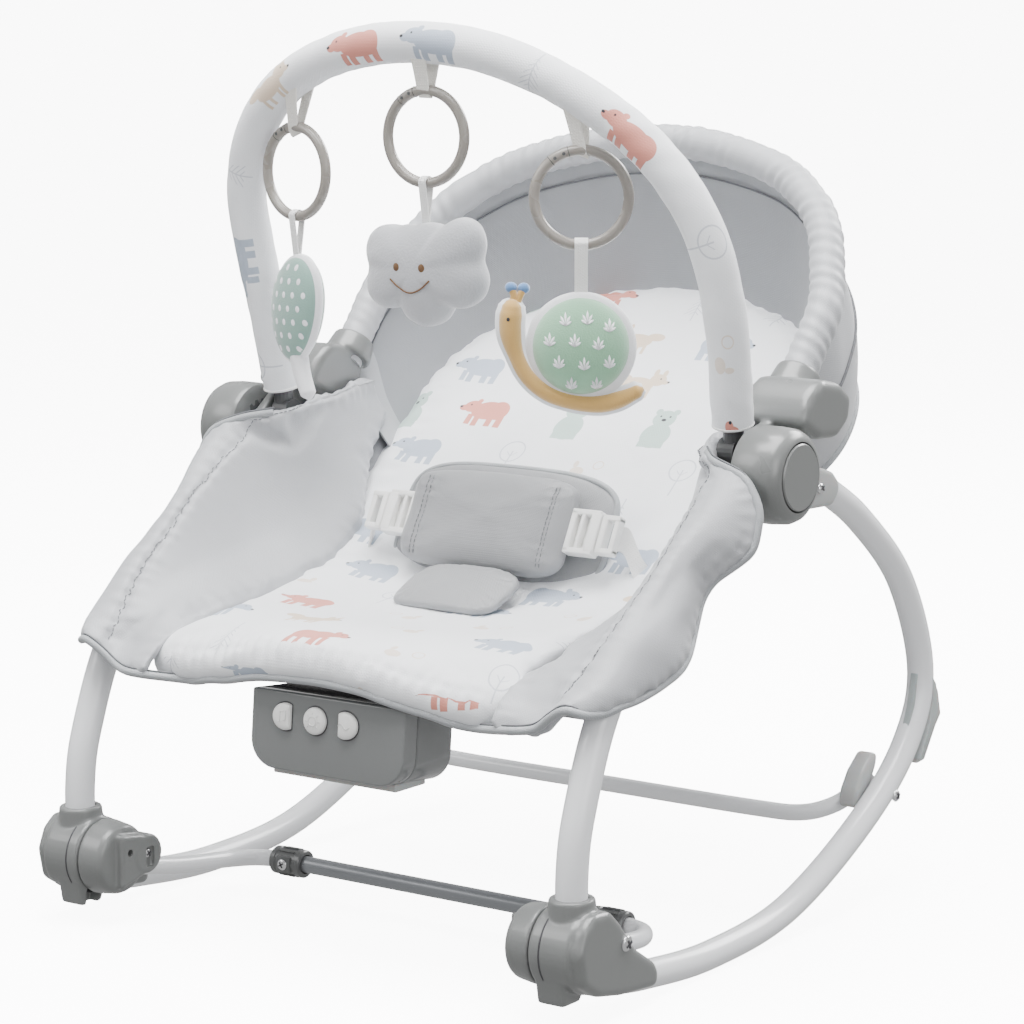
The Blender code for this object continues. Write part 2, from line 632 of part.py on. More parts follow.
def hang_frame(turn):
    """Unit directions of a hanging toy: across its face, and out of its face."""
    return Vector((cos(turn), sin(turn), 0)), Vector((sin(turn), -cos(turn), 0))


# name, X of the hook, hook height, heading of the face, loop length
TOYS = (("leaf", -0.1300, 0.5240, radians(-10), 0.0200),
        ("cloud", -0.0150, 0.5500, radians(3), 0.0240),
        ("snail", 0.1030, 0.5140, radians(35), 0.0280))


def under_bar(x):
    """The toy bar's centre line over x."""
    return min(toy_bar_route(), key=lambda p: abs(p.x - x) + (1.0 if p.z < 0.48 else 0.0))


def make_toys():
    for word, x, height, heading, length in TOYS:
        hook = Vector((x, under_bar(x).y, height))
        ring_centre = hook + Vector((0, 0, -RING_RADIUS))
        make_loop(word, hook, heading, length)
        make_ring(word, ring_centre, heading, hook)
        make_toy(word, ring_centre, heading)


def make_loop(word, hook, heading, length):
    """A webbing loop: a strap with an eye that the ring passes through."""
    strap = block("ring_loop_" + word, (0.0100, 0.0110, length + 0.0060),
                  hook + Vector((0, 0, length / 2 - 0.0030)), CREAM_WEBBING, (0, 0, heading))
    across = hang_frame(heading)[0]
    eye = rod("eye_" + word, hook - 0.02 * across, hook + 0.02 * across, RING_WIRE + 0.0012,
              DARK_PLASTIC, 12, CUTTERS)
    boolean(strap, as_cutter(eye), 'DIFFERENCE')
    bar = as_cutter(as_mesh(tube("bar_clearance_" + word, toy_bar_route(), TOY_BAR_RADIUS + GAP,
                                 DARK_PLASTIC, group=CUTTERS)))
    boolean(strap, bar, 'DIFFERENCE')


def make_ring(word, centre, heading, hook):
    """A split ring; its origin is at the hook that it swings from."""
    bm = bmesh.new()
    bmesh.ops.create_circle(bm, segments=10, radius=RING_WIRE)
    bmesh.ops.translate(bm, vec=(RING_RADIUS, 0, 0), verts=bm.verts)
    bmesh.ops.rotate(bm, matrix=Matrix.Rotation(pi / 2, 3, 'X'), verts=bm.verts)
    bmesh.ops.spin(bm, geom=bm.verts[:] + bm.edges[:], cent=(0, 0, 0), axis=(0, 0, 1),
                   angle=2 * pi, steps=24, use_merge=True)
    bmesh.ops.remove_doubles(bm, verts=bm.verts, dist=0.00001)
    bmesh.ops.rotate(bm, matrix=Matrix.Rotation(pi / 2, 3, 'X'), verts=bm.verts)
    bmesh.ops.rotate(bm, matrix=Matrix.Rotation(heading, 3, 'Z'), verts=bm.verts)
    bmesh.ops.translate(bm, vec=centre - hook, verts=bm.verts)
    bmesh.ops.recalc_face_normals(bm, faces=bm.faces)
    ring = mesh_object("toy_ring_" + word, bm, RING_PLASTIC)
    ring.location = hook


def puff(name, size, place, material, heading, group=None):
    """A stuffed round shape, squashed to size."""
    bm = bmesh.new()
    bmesh.ops.create_uvsphere(bm, u_segments=16, v_segments=10, radius=0.5)
    bmesh.ops.scale(bm, vec=size, verts=bm.verts)
    item = mesh_object(name, bm, material, group)
    item.location = place
    item.rotation_euler = (0, 0, heading)
    return item


PLUSH = {"leaf": ((0.050, 0.024, 0.070), 0.0240, MINT_PLUSH),
         "cloud": ((0.086, 0.036, 0.074), 0.0180, GREY_FABRIC),
         "snail": ((0.066, 0.026, 0.068), 0.0270, MINT_PLUSH)}


def make_toy(word, ring_centre, heading):
    """A plush toy with the ribbon that it hangs from; its origin is at the ring's lowest point."""
    across = hang_frame(heading)[0]
    ring_bottom = ring_centre + Vector((0, 0, -RING_RADIUS))
    size, drop, colour = PLUSH[word]
    centre = ring_bottom + Vector((0, 0, -drop - size[2] / 2))
    toy = puff("toy_" + word, size, centre, colour, heading)
    ribbon_top = ring_bottom + Vector((0, 0, -RING_WIRE - 0.0006))
    ribbon_low = centre + Vector((0, 0, size[2] / 2 - 0.006))
    extras = [block("ribbon_" + word, (0.0090, 0.0030, (ribbon_top - ribbon_low).length),
                    (ribbon_top + ribbon_low) / 2, CREAM_WEBBING, (0, 0, heading), CUTTERS)]
    if word == "snail":
        extras.append(block("snail_foot", (0.0800, 0.0140, 0.0160),
                            centre + across * 0.004 + Vector((0, 0, -0.032)), colour,
                            (0, 0, heading), CUTTERS))
        extras.append(block("snail_head", (0.0170, 0.0130, 0.0620),
                            centre - across * 0.0390 + Vector((0, 0, 0.004)), colour,
                            (0, 0, heading), CUTTERS))
    if word == "leaf":
        extras.append(block("leaf_stem", (0.0100, 0.0100, 0.0450),
                            centre + across * 0.004 + Vector((0, 0, -0.050)), colour,
                            (0, radians(-8), heading), CUTTERS))
    join(toy, extras)


# ---------------------------------------------------------------- build
def centre_on_origin():
    """Moves everything so that the origin is the bottom centre of the whole object."""
    for group in (PARTS, CUTTERS):
        for item in group.objects:
            item.location.y += ORIGIN_Y


def build():
    make_rails()
    make_legs()
    make_front_housings()
    make_front_stand()
    make_rear_bar()
    make_hubs()
    make_shoulders()
    make_rim()
    make_hood()
    make_back_pad()
    make_seat_pad()
    make_bolsters()
    make_belt()
    make_control_unit()
    make_toy_bar()
    make_toys()
    centre_on_origin()


build()
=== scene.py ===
import bpy
import bmesh
from math import radians, sin, cos, pi, exp
from mathutils import Vector, Matrix, noise
from mathutils.bvhtree import BVHTree
from mathutils.kdtree import KDTree


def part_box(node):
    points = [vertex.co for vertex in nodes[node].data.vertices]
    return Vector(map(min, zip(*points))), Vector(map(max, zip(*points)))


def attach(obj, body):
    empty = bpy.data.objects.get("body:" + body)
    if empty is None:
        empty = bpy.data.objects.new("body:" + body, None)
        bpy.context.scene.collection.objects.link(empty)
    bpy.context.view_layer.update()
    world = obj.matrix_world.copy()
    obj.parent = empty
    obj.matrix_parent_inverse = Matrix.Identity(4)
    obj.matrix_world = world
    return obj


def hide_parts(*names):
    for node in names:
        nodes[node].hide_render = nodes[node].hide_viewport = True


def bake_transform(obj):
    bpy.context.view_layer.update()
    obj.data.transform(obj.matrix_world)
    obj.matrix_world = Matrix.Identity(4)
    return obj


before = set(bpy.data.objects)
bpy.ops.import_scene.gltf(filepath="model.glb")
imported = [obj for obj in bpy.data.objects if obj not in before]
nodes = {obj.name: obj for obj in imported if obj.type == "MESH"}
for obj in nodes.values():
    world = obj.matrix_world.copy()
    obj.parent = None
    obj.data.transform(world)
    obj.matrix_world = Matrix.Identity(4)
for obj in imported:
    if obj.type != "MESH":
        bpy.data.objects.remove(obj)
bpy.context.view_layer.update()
originY = 0.0211   # from the middle of the rails' rocking arc to the middle of the seat's box
sides = (("left", -1), ("right", 1))


def at(x, y, z):   # a drawn place, moved into the frame
    return Vector((x, y + originY, z))


# --- camera, floor and lights

view = {"place": (1.3004, -1.8157, 0.6002), "turn": 35.9, "drop": 8.58, "lens": 116.57, "sensor": 36.0,
        "far": 30.0}


def newObject(name, data):
    made = bpy.data.objects.new(name, data)
    bpy.context.scene.collection.objects.link(made)
    return made


def meshFrom(name, bm):
    data = bpy.data.meshes.new(name)
    bm.to_mesh(data)
    bm.free()
    return data


def setCamera():
    camera = bpy.data.cameras.new("camera")
    camera.lens = view["lens"]
    camera.sensor_width = view["sensor"]
    camera.clip_end = view["far"]
    holder = newObject("camera", camera)
    holder.location = at(*view["place"])
    holder.rotation_euler = (radians(90 - view["drop"]), 0, radians(view["turn"]))
    bpy.context.scene.camera = holder


studio = {"floor": (0.97, 0.97, 0.975), "matt": 0.6, "glow": 9.0, "world": 0.62,
          "bowl": ((0.0, 0.0), (8.0, 0.0), (9.2, 0.4), (10.0, 1.2), (10.4, 2.4), (10.4, 6.0)),
          # each light's name, place, aim, size and power
          "lights": (("key", (-1.6, -2.0, 2.0), (0, 0, 0.25), (1.6, 1.2), 34.0),
                     ("fill", (2.4, -1.2, 1.2), (0, 0, 0.25), (1.4, 1.4), 24.0),
                     ("rim", (0.6, 2.2, 1.8), (0, 0, 0.3), (1.8, 0.9), 95.0),
                     ("top", (0.0, -0.2, 2.4), (0, 0, 0.2), (1.8, 1.8), 165.0))}


def addLight(name, place, aim, size, power):
    lamp = bpy.data.lights.new(name, 'AREA')
    lamp.shape = 'RECTANGLE'
    lamp.size, lamp.size_y = size
    lamp.energy = power
    holder = newObject(name, lamp)
    holder.location = place
    holder.rotation_euler = (Vector(aim) - Vector(place)).to_track_quat('-Z', 'Y').to_euler()


def setStudio():
    floor = newObject("floor", meshFrom("floor", turned(studio["bowl"], (0, 0, 0), (0, 0, 1), 96)))
    paper = bpy.data.materials.new("floorPaper")
    paper.use_nodes = True
    shader = paper.node_tree.nodes["Principled BSDF"]
    shader.inputs["Base Color"].default_value = (*studio["floor"], 1)
    shader.inputs["Roughness"].default_value = studio["matt"]
    shader.inputs["Emission Color"].default_value = (1, 1, 1, 1)
    shader.inputs["Emission Strength"].default_value = studio["glow"]
    floor.data.materials.append(paper)
    floor.visible_diffuse = False
    floor.visible_glossy = False
    world = bpy.data.worlds.new("studio")
    bpy.context.scene.world = world
    world.use_nodes = True
    world.node_tree.nodes["Background"].inputs["Color"].default_value = (1, 1, 1, 1)
    world.node_tree.nodes["Background"].inputs["Strength"].default_value = studio["world"]
    for light in studio["lights"]:
        addLight(*light)


# --- shader groups shared by the materials

class Wire:   # a socket that can be added, multiplied and compared inside a node tree
    def __init__(self, tree, socket):
        self.tree = tree
        self.socket = socket

    def step(self, operation, *others):
        node = self.tree.nodes.new("ShaderNodeMath")
        node.operation = operation
        for slot, value in zip(node.inputs, (self, *others)):
            if isinstance(value, Wire):
                self.tree.links.new(value.socket, slot)
            else:
                slot.default_value = value
        return Wire(self.tree, node.outputs[0])

    def __add__(self, other):
        return self.step('ADD', other)

    def __sub__(self, other):
        return self.step('SUBTRACT', other)

    def __mul__(self, other):
        return self.step('MULTIPLY', other)

    def __truediv__(self, other):
        return self.step('DIVIDE', other)

    def least(self, other):
        return self.step('MINIMUM', other)

    def most(self, other):
        return self.step('MAXIMUM', other)

    def size(self):
        return self.step('ABSOLUTE')

    def below(self, edge, soft):   # 1 under the edge, 0 above it, over a soft band
        return ((self * -1.0) + edge).step('DIVIDE', soft).step('ADD', 0.5).clamp()

    def clamp(self):
        held = self.step('MAXIMUM', 0.0)
        return held.step('MINIMUM', 1.0)


def shaderGroup(name, inputs, outputs):
    group = bpy.data.node_groups.new(name, 'ShaderNodeTree')
    for label, kind, value in inputs:
        socket = group.interface.new_socket(name=label, in_out='INPUT', socket_type=kind)
        if value is not None:
            socket.default_value = value
    for label, kind in outputs:
        group.interface.new_socket(name=label, in_out='OUTPUT', socket_type=kind)
    return group, group.nodes.new("NodeGroupInput"), group.nodes.new("NodeGroupOutput")


def noiseTexture(tree, vector, scale, detail=2.0, rough=0.5):
    node = tree.nodes.new("ShaderNodeTexNoise")
    node.inputs["Detail"].default_value = detail
    node.inputs["Roughness"].default_value = rough
    if vector is not None:
        tree.links.new(vector, node.inputs["Vector"])
    if hasattr(scale, "is_output"):
        tree.links.new(scale, node.inputs["Scale"])
    else:
        node.inputs["Scale"].default_value = scale
    return node


def makeGrain():   # fine moulded or painted surface: slight colour change, roughness change and height
    group, gate, out = shaderGroup(
        "surfaceGrain",
        [("Colour", 'NodeSocketColor', (0.5, 0.5, 0.5, 1)), ("Roughness", 'NodeSocketFloat', 0.4),
         ("Scale", 'NodeSocketFloat', 600.0), ("Mottle", 'NodeSocketFloat', 0.04)],
        [("Colour", 'NodeSocketColor'), ("Roughness", 'NodeSocketFloat'), ("Height", 'NodeSocketFloat')])
    links = group.links
    where = group.nodes.new("ShaderNodeTexCoord").outputs["Object"]
    fine = noiseTexture(group, where, gate.outputs["Scale"], 2.0)
    broad = noiseTexture(group, where, 28.0, 3.0)
    shade = group.nodes.new("ShaderNodeHueSaturation")
    links.new(gate.outputs["Colour"], shade.inputs["Color"])
    swing = Wire(group, broad.outputs["Fac"]) - 0.5
    links.new((swing * Wire(group, gate.outputs["Mottle"]) + 1.0).socket, shade.inputs["Value"])
    links.new(shade.outputs["Color"], out.inputs["Colour"])
    links.new((swing * 0.16 + Wire(group, gate.outputs["Roughness"])).clamp().socket,
              out.inputs["Roughness"])
    links.new(fine.outputs["Fac"], out.inputs["Height"])
    return group


def makeWeave():   # over-and-under threads on the piece's own coordinates
    group, gate, out = shaderGroup(
        "plainWeave",
        [("Threads", 'NodeSocketFloat', 2200.0), ("Creases", 'NodeSocketFloat', 0.5)],
        [("Height", 'NodeSocketFloat'), ("Shade", 'NodeSocketFloat')])
    links = group.links
    where = group.nodes.new("ShaderNodeTexCoord").outputs["Object"]
    parts = group.nodes.new("ShaderNodeSeparateXYZ")
    links.new(where, parts.inputs[0])
    threads = Wire(group, gate.outputs["Threads"])
    waves = [(Wire(group, parts.outputs[k]) * threads).step('SINE') for k in range(3)]
    cloth = waves[0] * waves[1] + waves[1] * waves[2] + waves[2] * waves[0]
    folds = noiseTexture(group, where, 34.0, 4.0, 0.62)
    broad = noiseTexture(group, where, 9.0, 2.0)
    crease = (Wire(group, folds.outputs["Fac"]) - 0.5) * Wire(group, gate.outputs["Creases"])
    links.new((crease + cloth * 0.035).socket, out.inputs["Height"])
    links.new(((Wire(group, broad.outputs["Fac"]) - 0.5) * 0.08 + 1.0).socket, out.inputs["Shade"])
    return group


grain = makeGrain()
weave = makeWeave()


def newMaterial(name, **values):
    material = bpy.data.materials.new(name)
    material.use_nodes = True
    shader = material.node_tree.nodes["Principled BSDF"]
    for label, value in values.items():
        shader.inputs[label.replace("_", " ")].default_value = value
    return material, material.node_tree, shader


def useGroup(tree, group, **values):
    node = tree.nodes.new("ShaderNodeGroup")
    node.node_tree = group
    for label, value in values.items():
        node.inputs[label].default_value = value
    return node


def addBump(tree, shader, height, strength, distance):
    bump = tree.nodes.new("ShaderNodeBump")
    bump.inputs["Strength"].default_value = strength
    bump.inputs["Distance"].default_value = distance
    tree.links.new(height, bump.inputs["Height"])
    tree.links.new(bump.outputs["Normal"], shader.inputs["Normal"])


def hardMaterial(name, colour, roughness, scale=700.0, mottle=0.05, bump=0.05, **values):
    material, tree, shader = newMaterial(name, **values)
    grainNode = useGroup(tree, grain, Colour=(*colour, 1), Roughness=roughness, Scale=scale, Mottle=mottle)
    tree.links.new(grainNode.outputs["Colour"], shader.inputs["Base Color"])
    tree.links.new(grainNode.outputs["Roughness"], shader.inputs["Roughness"])
    addBump(tree, shader, grainNode.outputs["Height"], bump, 0.0004)
    return material


def clothMaterial(name, colour, roughness=0.72, sheen=0.25, bump=0.5, threads=2600.0, creases=0.5):
    material, tree, shader = newMaterial(name, Roughness=roughness, Sheen_Weight=sheen)
    shader.inputs["Sheen Roughness"].default_value = 0.4
    weaveNode = useGroup(tree, weave, Threads=threads, Creases=creases)
    shade = tree.nodes.new("ShaderNodeHueSaturation")
    shade.inputs["Color"].default_value = (*colour, 1)
    tree.links.new(weaveNode.outputs["Shade"], shade.inputs["Value"])
    tree.links.new(shade.outputs["Color"], shader.inputs["Base Color"])
    addBump(tree, shader, weaveNode.outputs["Height"], bump, 0.0025)
    return material


whitePaint = hardMaterial("whitePaint", (0.83, 0.84, 0.86), 0.24, 900.0, 0.02, 0.03,
                          Coat_Weight=0.35, Coat_Roughness=0.12)
silverPaint = hardMaterial("silverPaint", (0.24, 0.25, 0.265), 0.34, 1400.0, 0.05, 0.08, Metallic=0.35)
greyPlastic = hardMaterial("greyPlastic", (0.165, 0.171, 0.169), 0.30, 1200.0, 0.05, 0.10, Coat_Weight=0.25,
                           Coat_Roughness=0.15)
darkPlastic = hardMaterial("darkPlastic", (0.085, 0.088, 0.09), 0.42, 1100.0, 0.06, 0.12)
whitePlastic = hardMaterial("whitePlastic", (0.84, 0.84, 0.82), 0.33, 900.0, 0.03, 0.05, Coat_Weight=0.2)
ringPlastic = hardMaterial("ringPlastic", (0.27, 0.25, 0.225), 0.26, 700.0, 0.04, 0.03, Coat_Weight=0.5,
                           Coat_Roughness=0.1)
palePlastic = hardMaterial("palePlastic", (0.40, 0.42, 0.42), 0.4, 900.0, 0.04, 0.05, Coat_Weight=0.2,
                           Subsurface_Weight=0.15)
steel = hardMaterial("screwSteel", (0.70, 0.70, 0.71), 0.22, 1500.0, 0.05, 0.08, Metallic=1.0)
# near-black material that paints the shade inside seams, screw slots, joints and gaps between parts
gapShade = hardMaterial("gapShade", (0.05, 0.05, 0.055), 0.7, 800.0, 0.05, 0.05)
greySatin = clothMaterial("greySatin", (0.42, 0.43, 0.45), 0.46, 0.35, 0.30, 4200.0, 0.5)
greyTrim = clothMaterial("greyTrim", (0.34, 0.355, 0.37), 0.5, 0.3, 0.4, 3600.0, 0.3)
creamWebbing = clothMaterial("creamWebbing", (0.82, 0.80, 0.75), 0.8, 0.3, 0.7, 3000.0, 0.15)
threadGrey = clothMaterial("threadGrey", (0.13, 0.135, 0.145), 0.7, 0.2, 0.3, 6000.0, 0.1)


# --- modelling helpers

def addPiece(name, bm, material, body, replaced=(), sharp=40):
    return placePiece(name, meshFrom(name, bm), material, body, replaced, sharp)


def placePiece(name, data, material, body, replaced=(), sharp=40):
    if not data.materials:
        data.materials.append(material)
    data.shade_smooth()
    if sharp:
        data.set_sharp_from_angle(angle=radians(sharp))
    piece = newObject(name, data)
    if body:
        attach(piece, body)
    if replaced:
        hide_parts(*replaced)
    return piece


def smoothLine(points, steps):   # Catmull-Rom through the points
    line = [Vector(p) for p in points]
    ends = [line[0] * 2 - line[1]] + line + [line[-1] * 2 - line[-2]]
    out = []
    for k in range(1, len(ends) - 2):
        a, b, c, d = ends[k - 1:k + 3]
        for j in range(steps):
            t = j / steps
            out.append(0.5 * ((2 * b) + (c - a) * t + (2 * a - 5 * b + 4 * c - d) * t * t
                              + (3 * b - a - 3 * c + d) * t ** 3))
    out.append(line[-1].copy())
    return out


def runLengths(line):   # how far along the line each of its points lies
    lengths = [0.0]
    for a, b in zip(line, line[1:]):
        lengths.append(lengths[-1] + (b - a).length)
    return lengths


def turns(count):   # even angles round a circle
    return [2 * pi * k / count for k in range(count)]


def evenLine(line, count):   # the same line at equal distances
    lengths = runLengths(line)
    out = []
    k = 0
    for j in range(count):
        goal = lengths[-1] * j / (count - 1)
        while k < len(line) - 2 and lengths[k + 1] < goal:
            k += 1
        span = max(lengths[k + 1] - lengths[k], 1e-9)
        out.append(line[k].lerp(line[k + 1], min(1.0, (goal - lengths[k]) / span)))
    return out


def tubeMesh(line, radius, sides=24, closed=False, shape=None):
    bm = bmesh.new()
    count = len(line)
    rings = []
    across = None
    for k, spot in enumerate(line):
        before = line[k - 1] if k or closed else line[0]
        after = line[(k + 1) % count] if k < count - 1 or closed else line[-1]
        ahead = (after - before).normalized()
        if across is None:
            across = ahead.orthogonal().normalized()
        across = (across - ahead * across.dot(ahead)).normalized()
        other = ahead.cross(across)
        ring = []
        for turn in turns(sides):
            reach = radius if shape is None else shape(k / max(count - 1, 1), turn, spot)
            ring.append(bm.verts.new(spot + (across * cos(turn) + other * sin(turn)) * reach))
        rings.append(ring)
    pairs = list(zip(rings, rings[1:])) + ([(rings[-1], rings[0])] if closed else [])
    for low, high in pairs:
        for j in range(sides):
            bm.faces.new((low[j], low[(j + 1) % sides], high[(j + 1) % sides], high[j]))
    if not closed:
        bm.faces.new(list(reversed(rings[0])))
        bm.faces.new(rings[-1])
    return bm


def tube(name, line, radius, material, body, replaced=(), sides=24, closed=False, shape=None):
    return addPiece(name, tubeMesh(line, radius, sides, closed, shape), material, body, replaced, 60)


def turned(profile, centre, axis, steps=48):   # profile of (radius, distance along the axis)
    bm = bmesh.new()
    frameTurn = Vector((0, 0, 1)).rotation_difference(Vector(axis)).to_matrix().to_4x4()
    verts = [bm.verts.new((r, 0, h)) for r, h in profile]
    edges = [bm.edges.new(pair) for pair in zip(verts, verts[1:])]
    bmesh.ops.spin(bm, geom=verts + edges, cent=(0, 0, 0), axis=(0, 0, 1), dvec=(0, 0, 0),
                   angle=2 * pi, steps=steps, use_merge=True, use_duplicate=False)
    bmesh.ops.remove_doubles(bm, verts=bm.verts, dist=0.00001)
    bmesh.ops.recalc_face_normals(bm, faces=bm.faces)
    bmesh.ops.transform(bm, matrix=Matrix.Translation(centre) @ frameTurn, verts=bm.verts)
    return bm


def rounded(bm, edges, offset, segments):
    bmesh.ops.bevel(bm, geom=edges, offset=offset, offset_type='OFFSET', affect='EDGES', segments=segments,
                    profile=0.5, material=-1, clamp_overlap=True)


def slab(points, push):   # a face pushed out into a solid
    bm = bmesh.new()
    face = bm.faces.new([bm.verts.new(p) for p in points])
    grown = bmesh.ops.extrude_face_region(bm, geom=[face])
    bmesh.ops.translate(bm, vec=push, verts=[v for v in grown["geom"] if isinstance(v, bmesh.types.BMVert)])
    bmesh.ops.recalc_face_normals(bm, faces=bm.faces)
    return bm


def plate(outline, low, high, bevel, segments=3):   # a (y, z) outline given a thickness along x
    bm = slab([at(low, y, z) for y, z in outline], Vector((high - low, 0, 0)))
    rounded(bm, bm.edges[:], bevel, segments)
    return bm


def box(size, centre, turn=(0, 0, 0), bevel=0.0, segments=3):
    bm = bmesh.new()
    bmesh.ops.create_cube(bm, size=1.0)
    bmesh.ops.scale(bm, vec=size, verts=bm.verts)
    if bevel:
        rounded(bm, bm.edges[:], bevel, segments)
    rotation = (Matrix.Rotation(turn[2], 4, 'Z') @ Matrix.Rotation(turn[1], 4, 'Y')
                @ Matrix.Rotation(turn[0], 4, 'X'))
    bmesh.ops.transform(bm, matrix=Matrix.Translation(centre) @ rotation, verts=bm.verts)
    return bm


def merged(*parts):
    bm = bmesh.new()
    for part in parts:
        data = meshFrom("part", part)
        bm.from_mesh(data)
        bpy.data.meshes.remove(data)
    return bm


def evaluatedMesh(piece):
    bpy.context.view_layer.update()
    shown = piece.evaluated_get(bpy.context.evaluated_depsgraph_get())
    return bpy.data.meshes.new_from_object(shown)


def applyAll(piece):
    data = evaluatedMesh(piece)
    piece.modifiers.clear()
    old = piece.data
    piece.data = data
    bpy.data.meshes.remove(old)
    return piece


def moulded(name, parts, voxel, rounds, material, body, replaced=(), cuts=()):   # melted into one skin
    piece = newObject(name, meshFrom(name, merged(*parts)))
    skin = piece.modifiers.new("skin", 'REMESH')
    skin.mode = 'VOXEL'
    skin.voxel_size = voxel
    soften = piece.modifiers.new("soften", 'SMOOTH')
    soften.iterations = rounds
    cutters = []
    for cut in cuts:
        cutter = newObject("cut", meshFrom("cut", cut))
        trim = piece.modifiers.new("trim", 'BOOLEAN')
        trim.operation = 'DIFFERENCE'
        trim.object = cutter
        cutters.append(cutter)
    applyAll(piece)
    for cutter in cutters:
        bpy.data.objects.remove(cutter)
    data = piece.data
    bpy.data.objects.remove(piece)
    return placePiece(name, data, material, body, replaced, 50)


def roundBar(start, end, radius, endRadius=None, bevel=0.0):
    bm = bmesh.new()
    start, end = Vector(start), Vector(end)
    length = (end - start).length
    bmesh.ops.create_cone(bm, cap_ends=True, segments=40, radius1=radius,
                          radius2=radius if endRadius is None else endRadius, depth=length)
    if bevel:
        rims = [e for e in bm.edges
                if len(e.link_faces) == 2 and any(len(f.verts) > 4 for f in e.link_faces)]
        rounded(bm, rims, bevel, 4)
    turn = Vector((0, 0, 1)).rotation_difference((end - start).normalized()).to_matrix().to_4x4()
    bmesh.ops.transform(bm, matrix=Matrix.Translation((start + end) / 2) @ turn, verts=bm.verts)
    return bm


def screwHead(name, place, axis, radius, body, replaced=(), rise=0.0022):   # a domed head with a cross slot painted as shade: two dark boxes stand in for the recess
    axis = Vector(axis).normalized()
    dome = [(0.0, rise), (radius * 0.45, rise * 0.95), (radius * 0.8, rise * 0.68),
            (radius * 0.97, rise * 0.3), (radius, 0.0), (radius * 0.9, -0.001), (0.0, -0.001)]
    head = addPiece(name, turned(dome, place, axis, 28), steel, body, replaced, 50)
    # the slot is not cut: two dark boxes across the dome paint the shade inside it
    for number in range(2):
        slotTurn = Vector((0, 0, 1)).rotation_difference(axis).to_matrix().to_4x4()
        bm = box((radius * 1.15, radius * 0.26, rise * 0.5), (0, 0, rise * 0.86),
                 (0, 0, number * pi / 2 + 0.5))
        bmesh.ops.transform(bm, matrix=Matrix.Translation(place) @ slotTurn, verts=bm.verts)
        slotPiece = addPiece(f"{name}Slot{number}", bm, gapShade, body)
    return head


# --- rocking base

rail = {"x": 0.208, "radius": 0.0093,
        "route": ((-0.209, 0.0205), (-0.170, 0.0145), (-0.093, 0.0093), (0.000, 0.0185), (0.095, 0.0570),
                  (0.155, 0.1000), (0.1755, 0.1500), (0.145, 0.2170), (0.088, 0.2660), (0.036, 0.2950))}
leg = {"x": 0.200, "radius": 0.0100,
       "route": ((-0.2335, 0.052), (-0.2345, 0.090), (-0.2270, 0.127), (-0.2000, 0.186), (-0.150, 0.236),
                 (-0.100, 0.2740), (-0.0670, 0.2955))}
rearBar = {"radius": 0.0058, "y": 0.100, "z": 0.0545,
           "half": ((0.0, 0.0, 0.0), (0.120, 0.0, 0.0), (0.158, 0.002, 0.0015), (0.178, 0.012, 0.008),
                    (0.187, 0.024, 0.017), (0.190, 0.036, 0.026))}
frontStand = {"radius": 0.0058, "x": 0.172, "barY": -0.0945, "barZ": 0.0180, "clampX": 0.134}
foot = {"y": -0.232, "z": 0.044, "radius": 0.026}


def makeTubes():
    for word, side in sides:
        line = evenLine(smoothLine([at(side * rail["x"], y, z) for y, z in rail["route"]], 12), 90)
        tube("rockerRail_" + word, line, rail["radius"], whitePaint, "base", ("rocker_rail_" + word,), 32)
        line = evenLine(smoothLine([at(side * leg["x"], y, z) for y, z in leg["route"]], 12), 50)
        tube("seatTube_" + word, line, leg["radius"], whitePaint, "base", ("seat_tube_" + word,), 32)
    half = [(x, rearBar["y"] + y, rearBar["z"] + z) for x, y, z in rearBar["half"]]
    route = [(-x, y, z) for x, y, z in reversed(half[1:])] + half
    tube("rearBar", evenLine(smoothLine([at(*p) for p in route], 10), 110), rearBar["radius"], whitePaint,
         "base", ("rear_bar",), 24)
    low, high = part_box("seat_cross_tube")
    middle = (Vector(low) + Vector(high)) / 2
    tube("seatCrossTube", [Vector((low[0], middle.y, middle.z)), Vector((high[0], middle.y, middle.z))],
         0.0070, silverPaint, "base", ("seat_cross_tube",), 24)


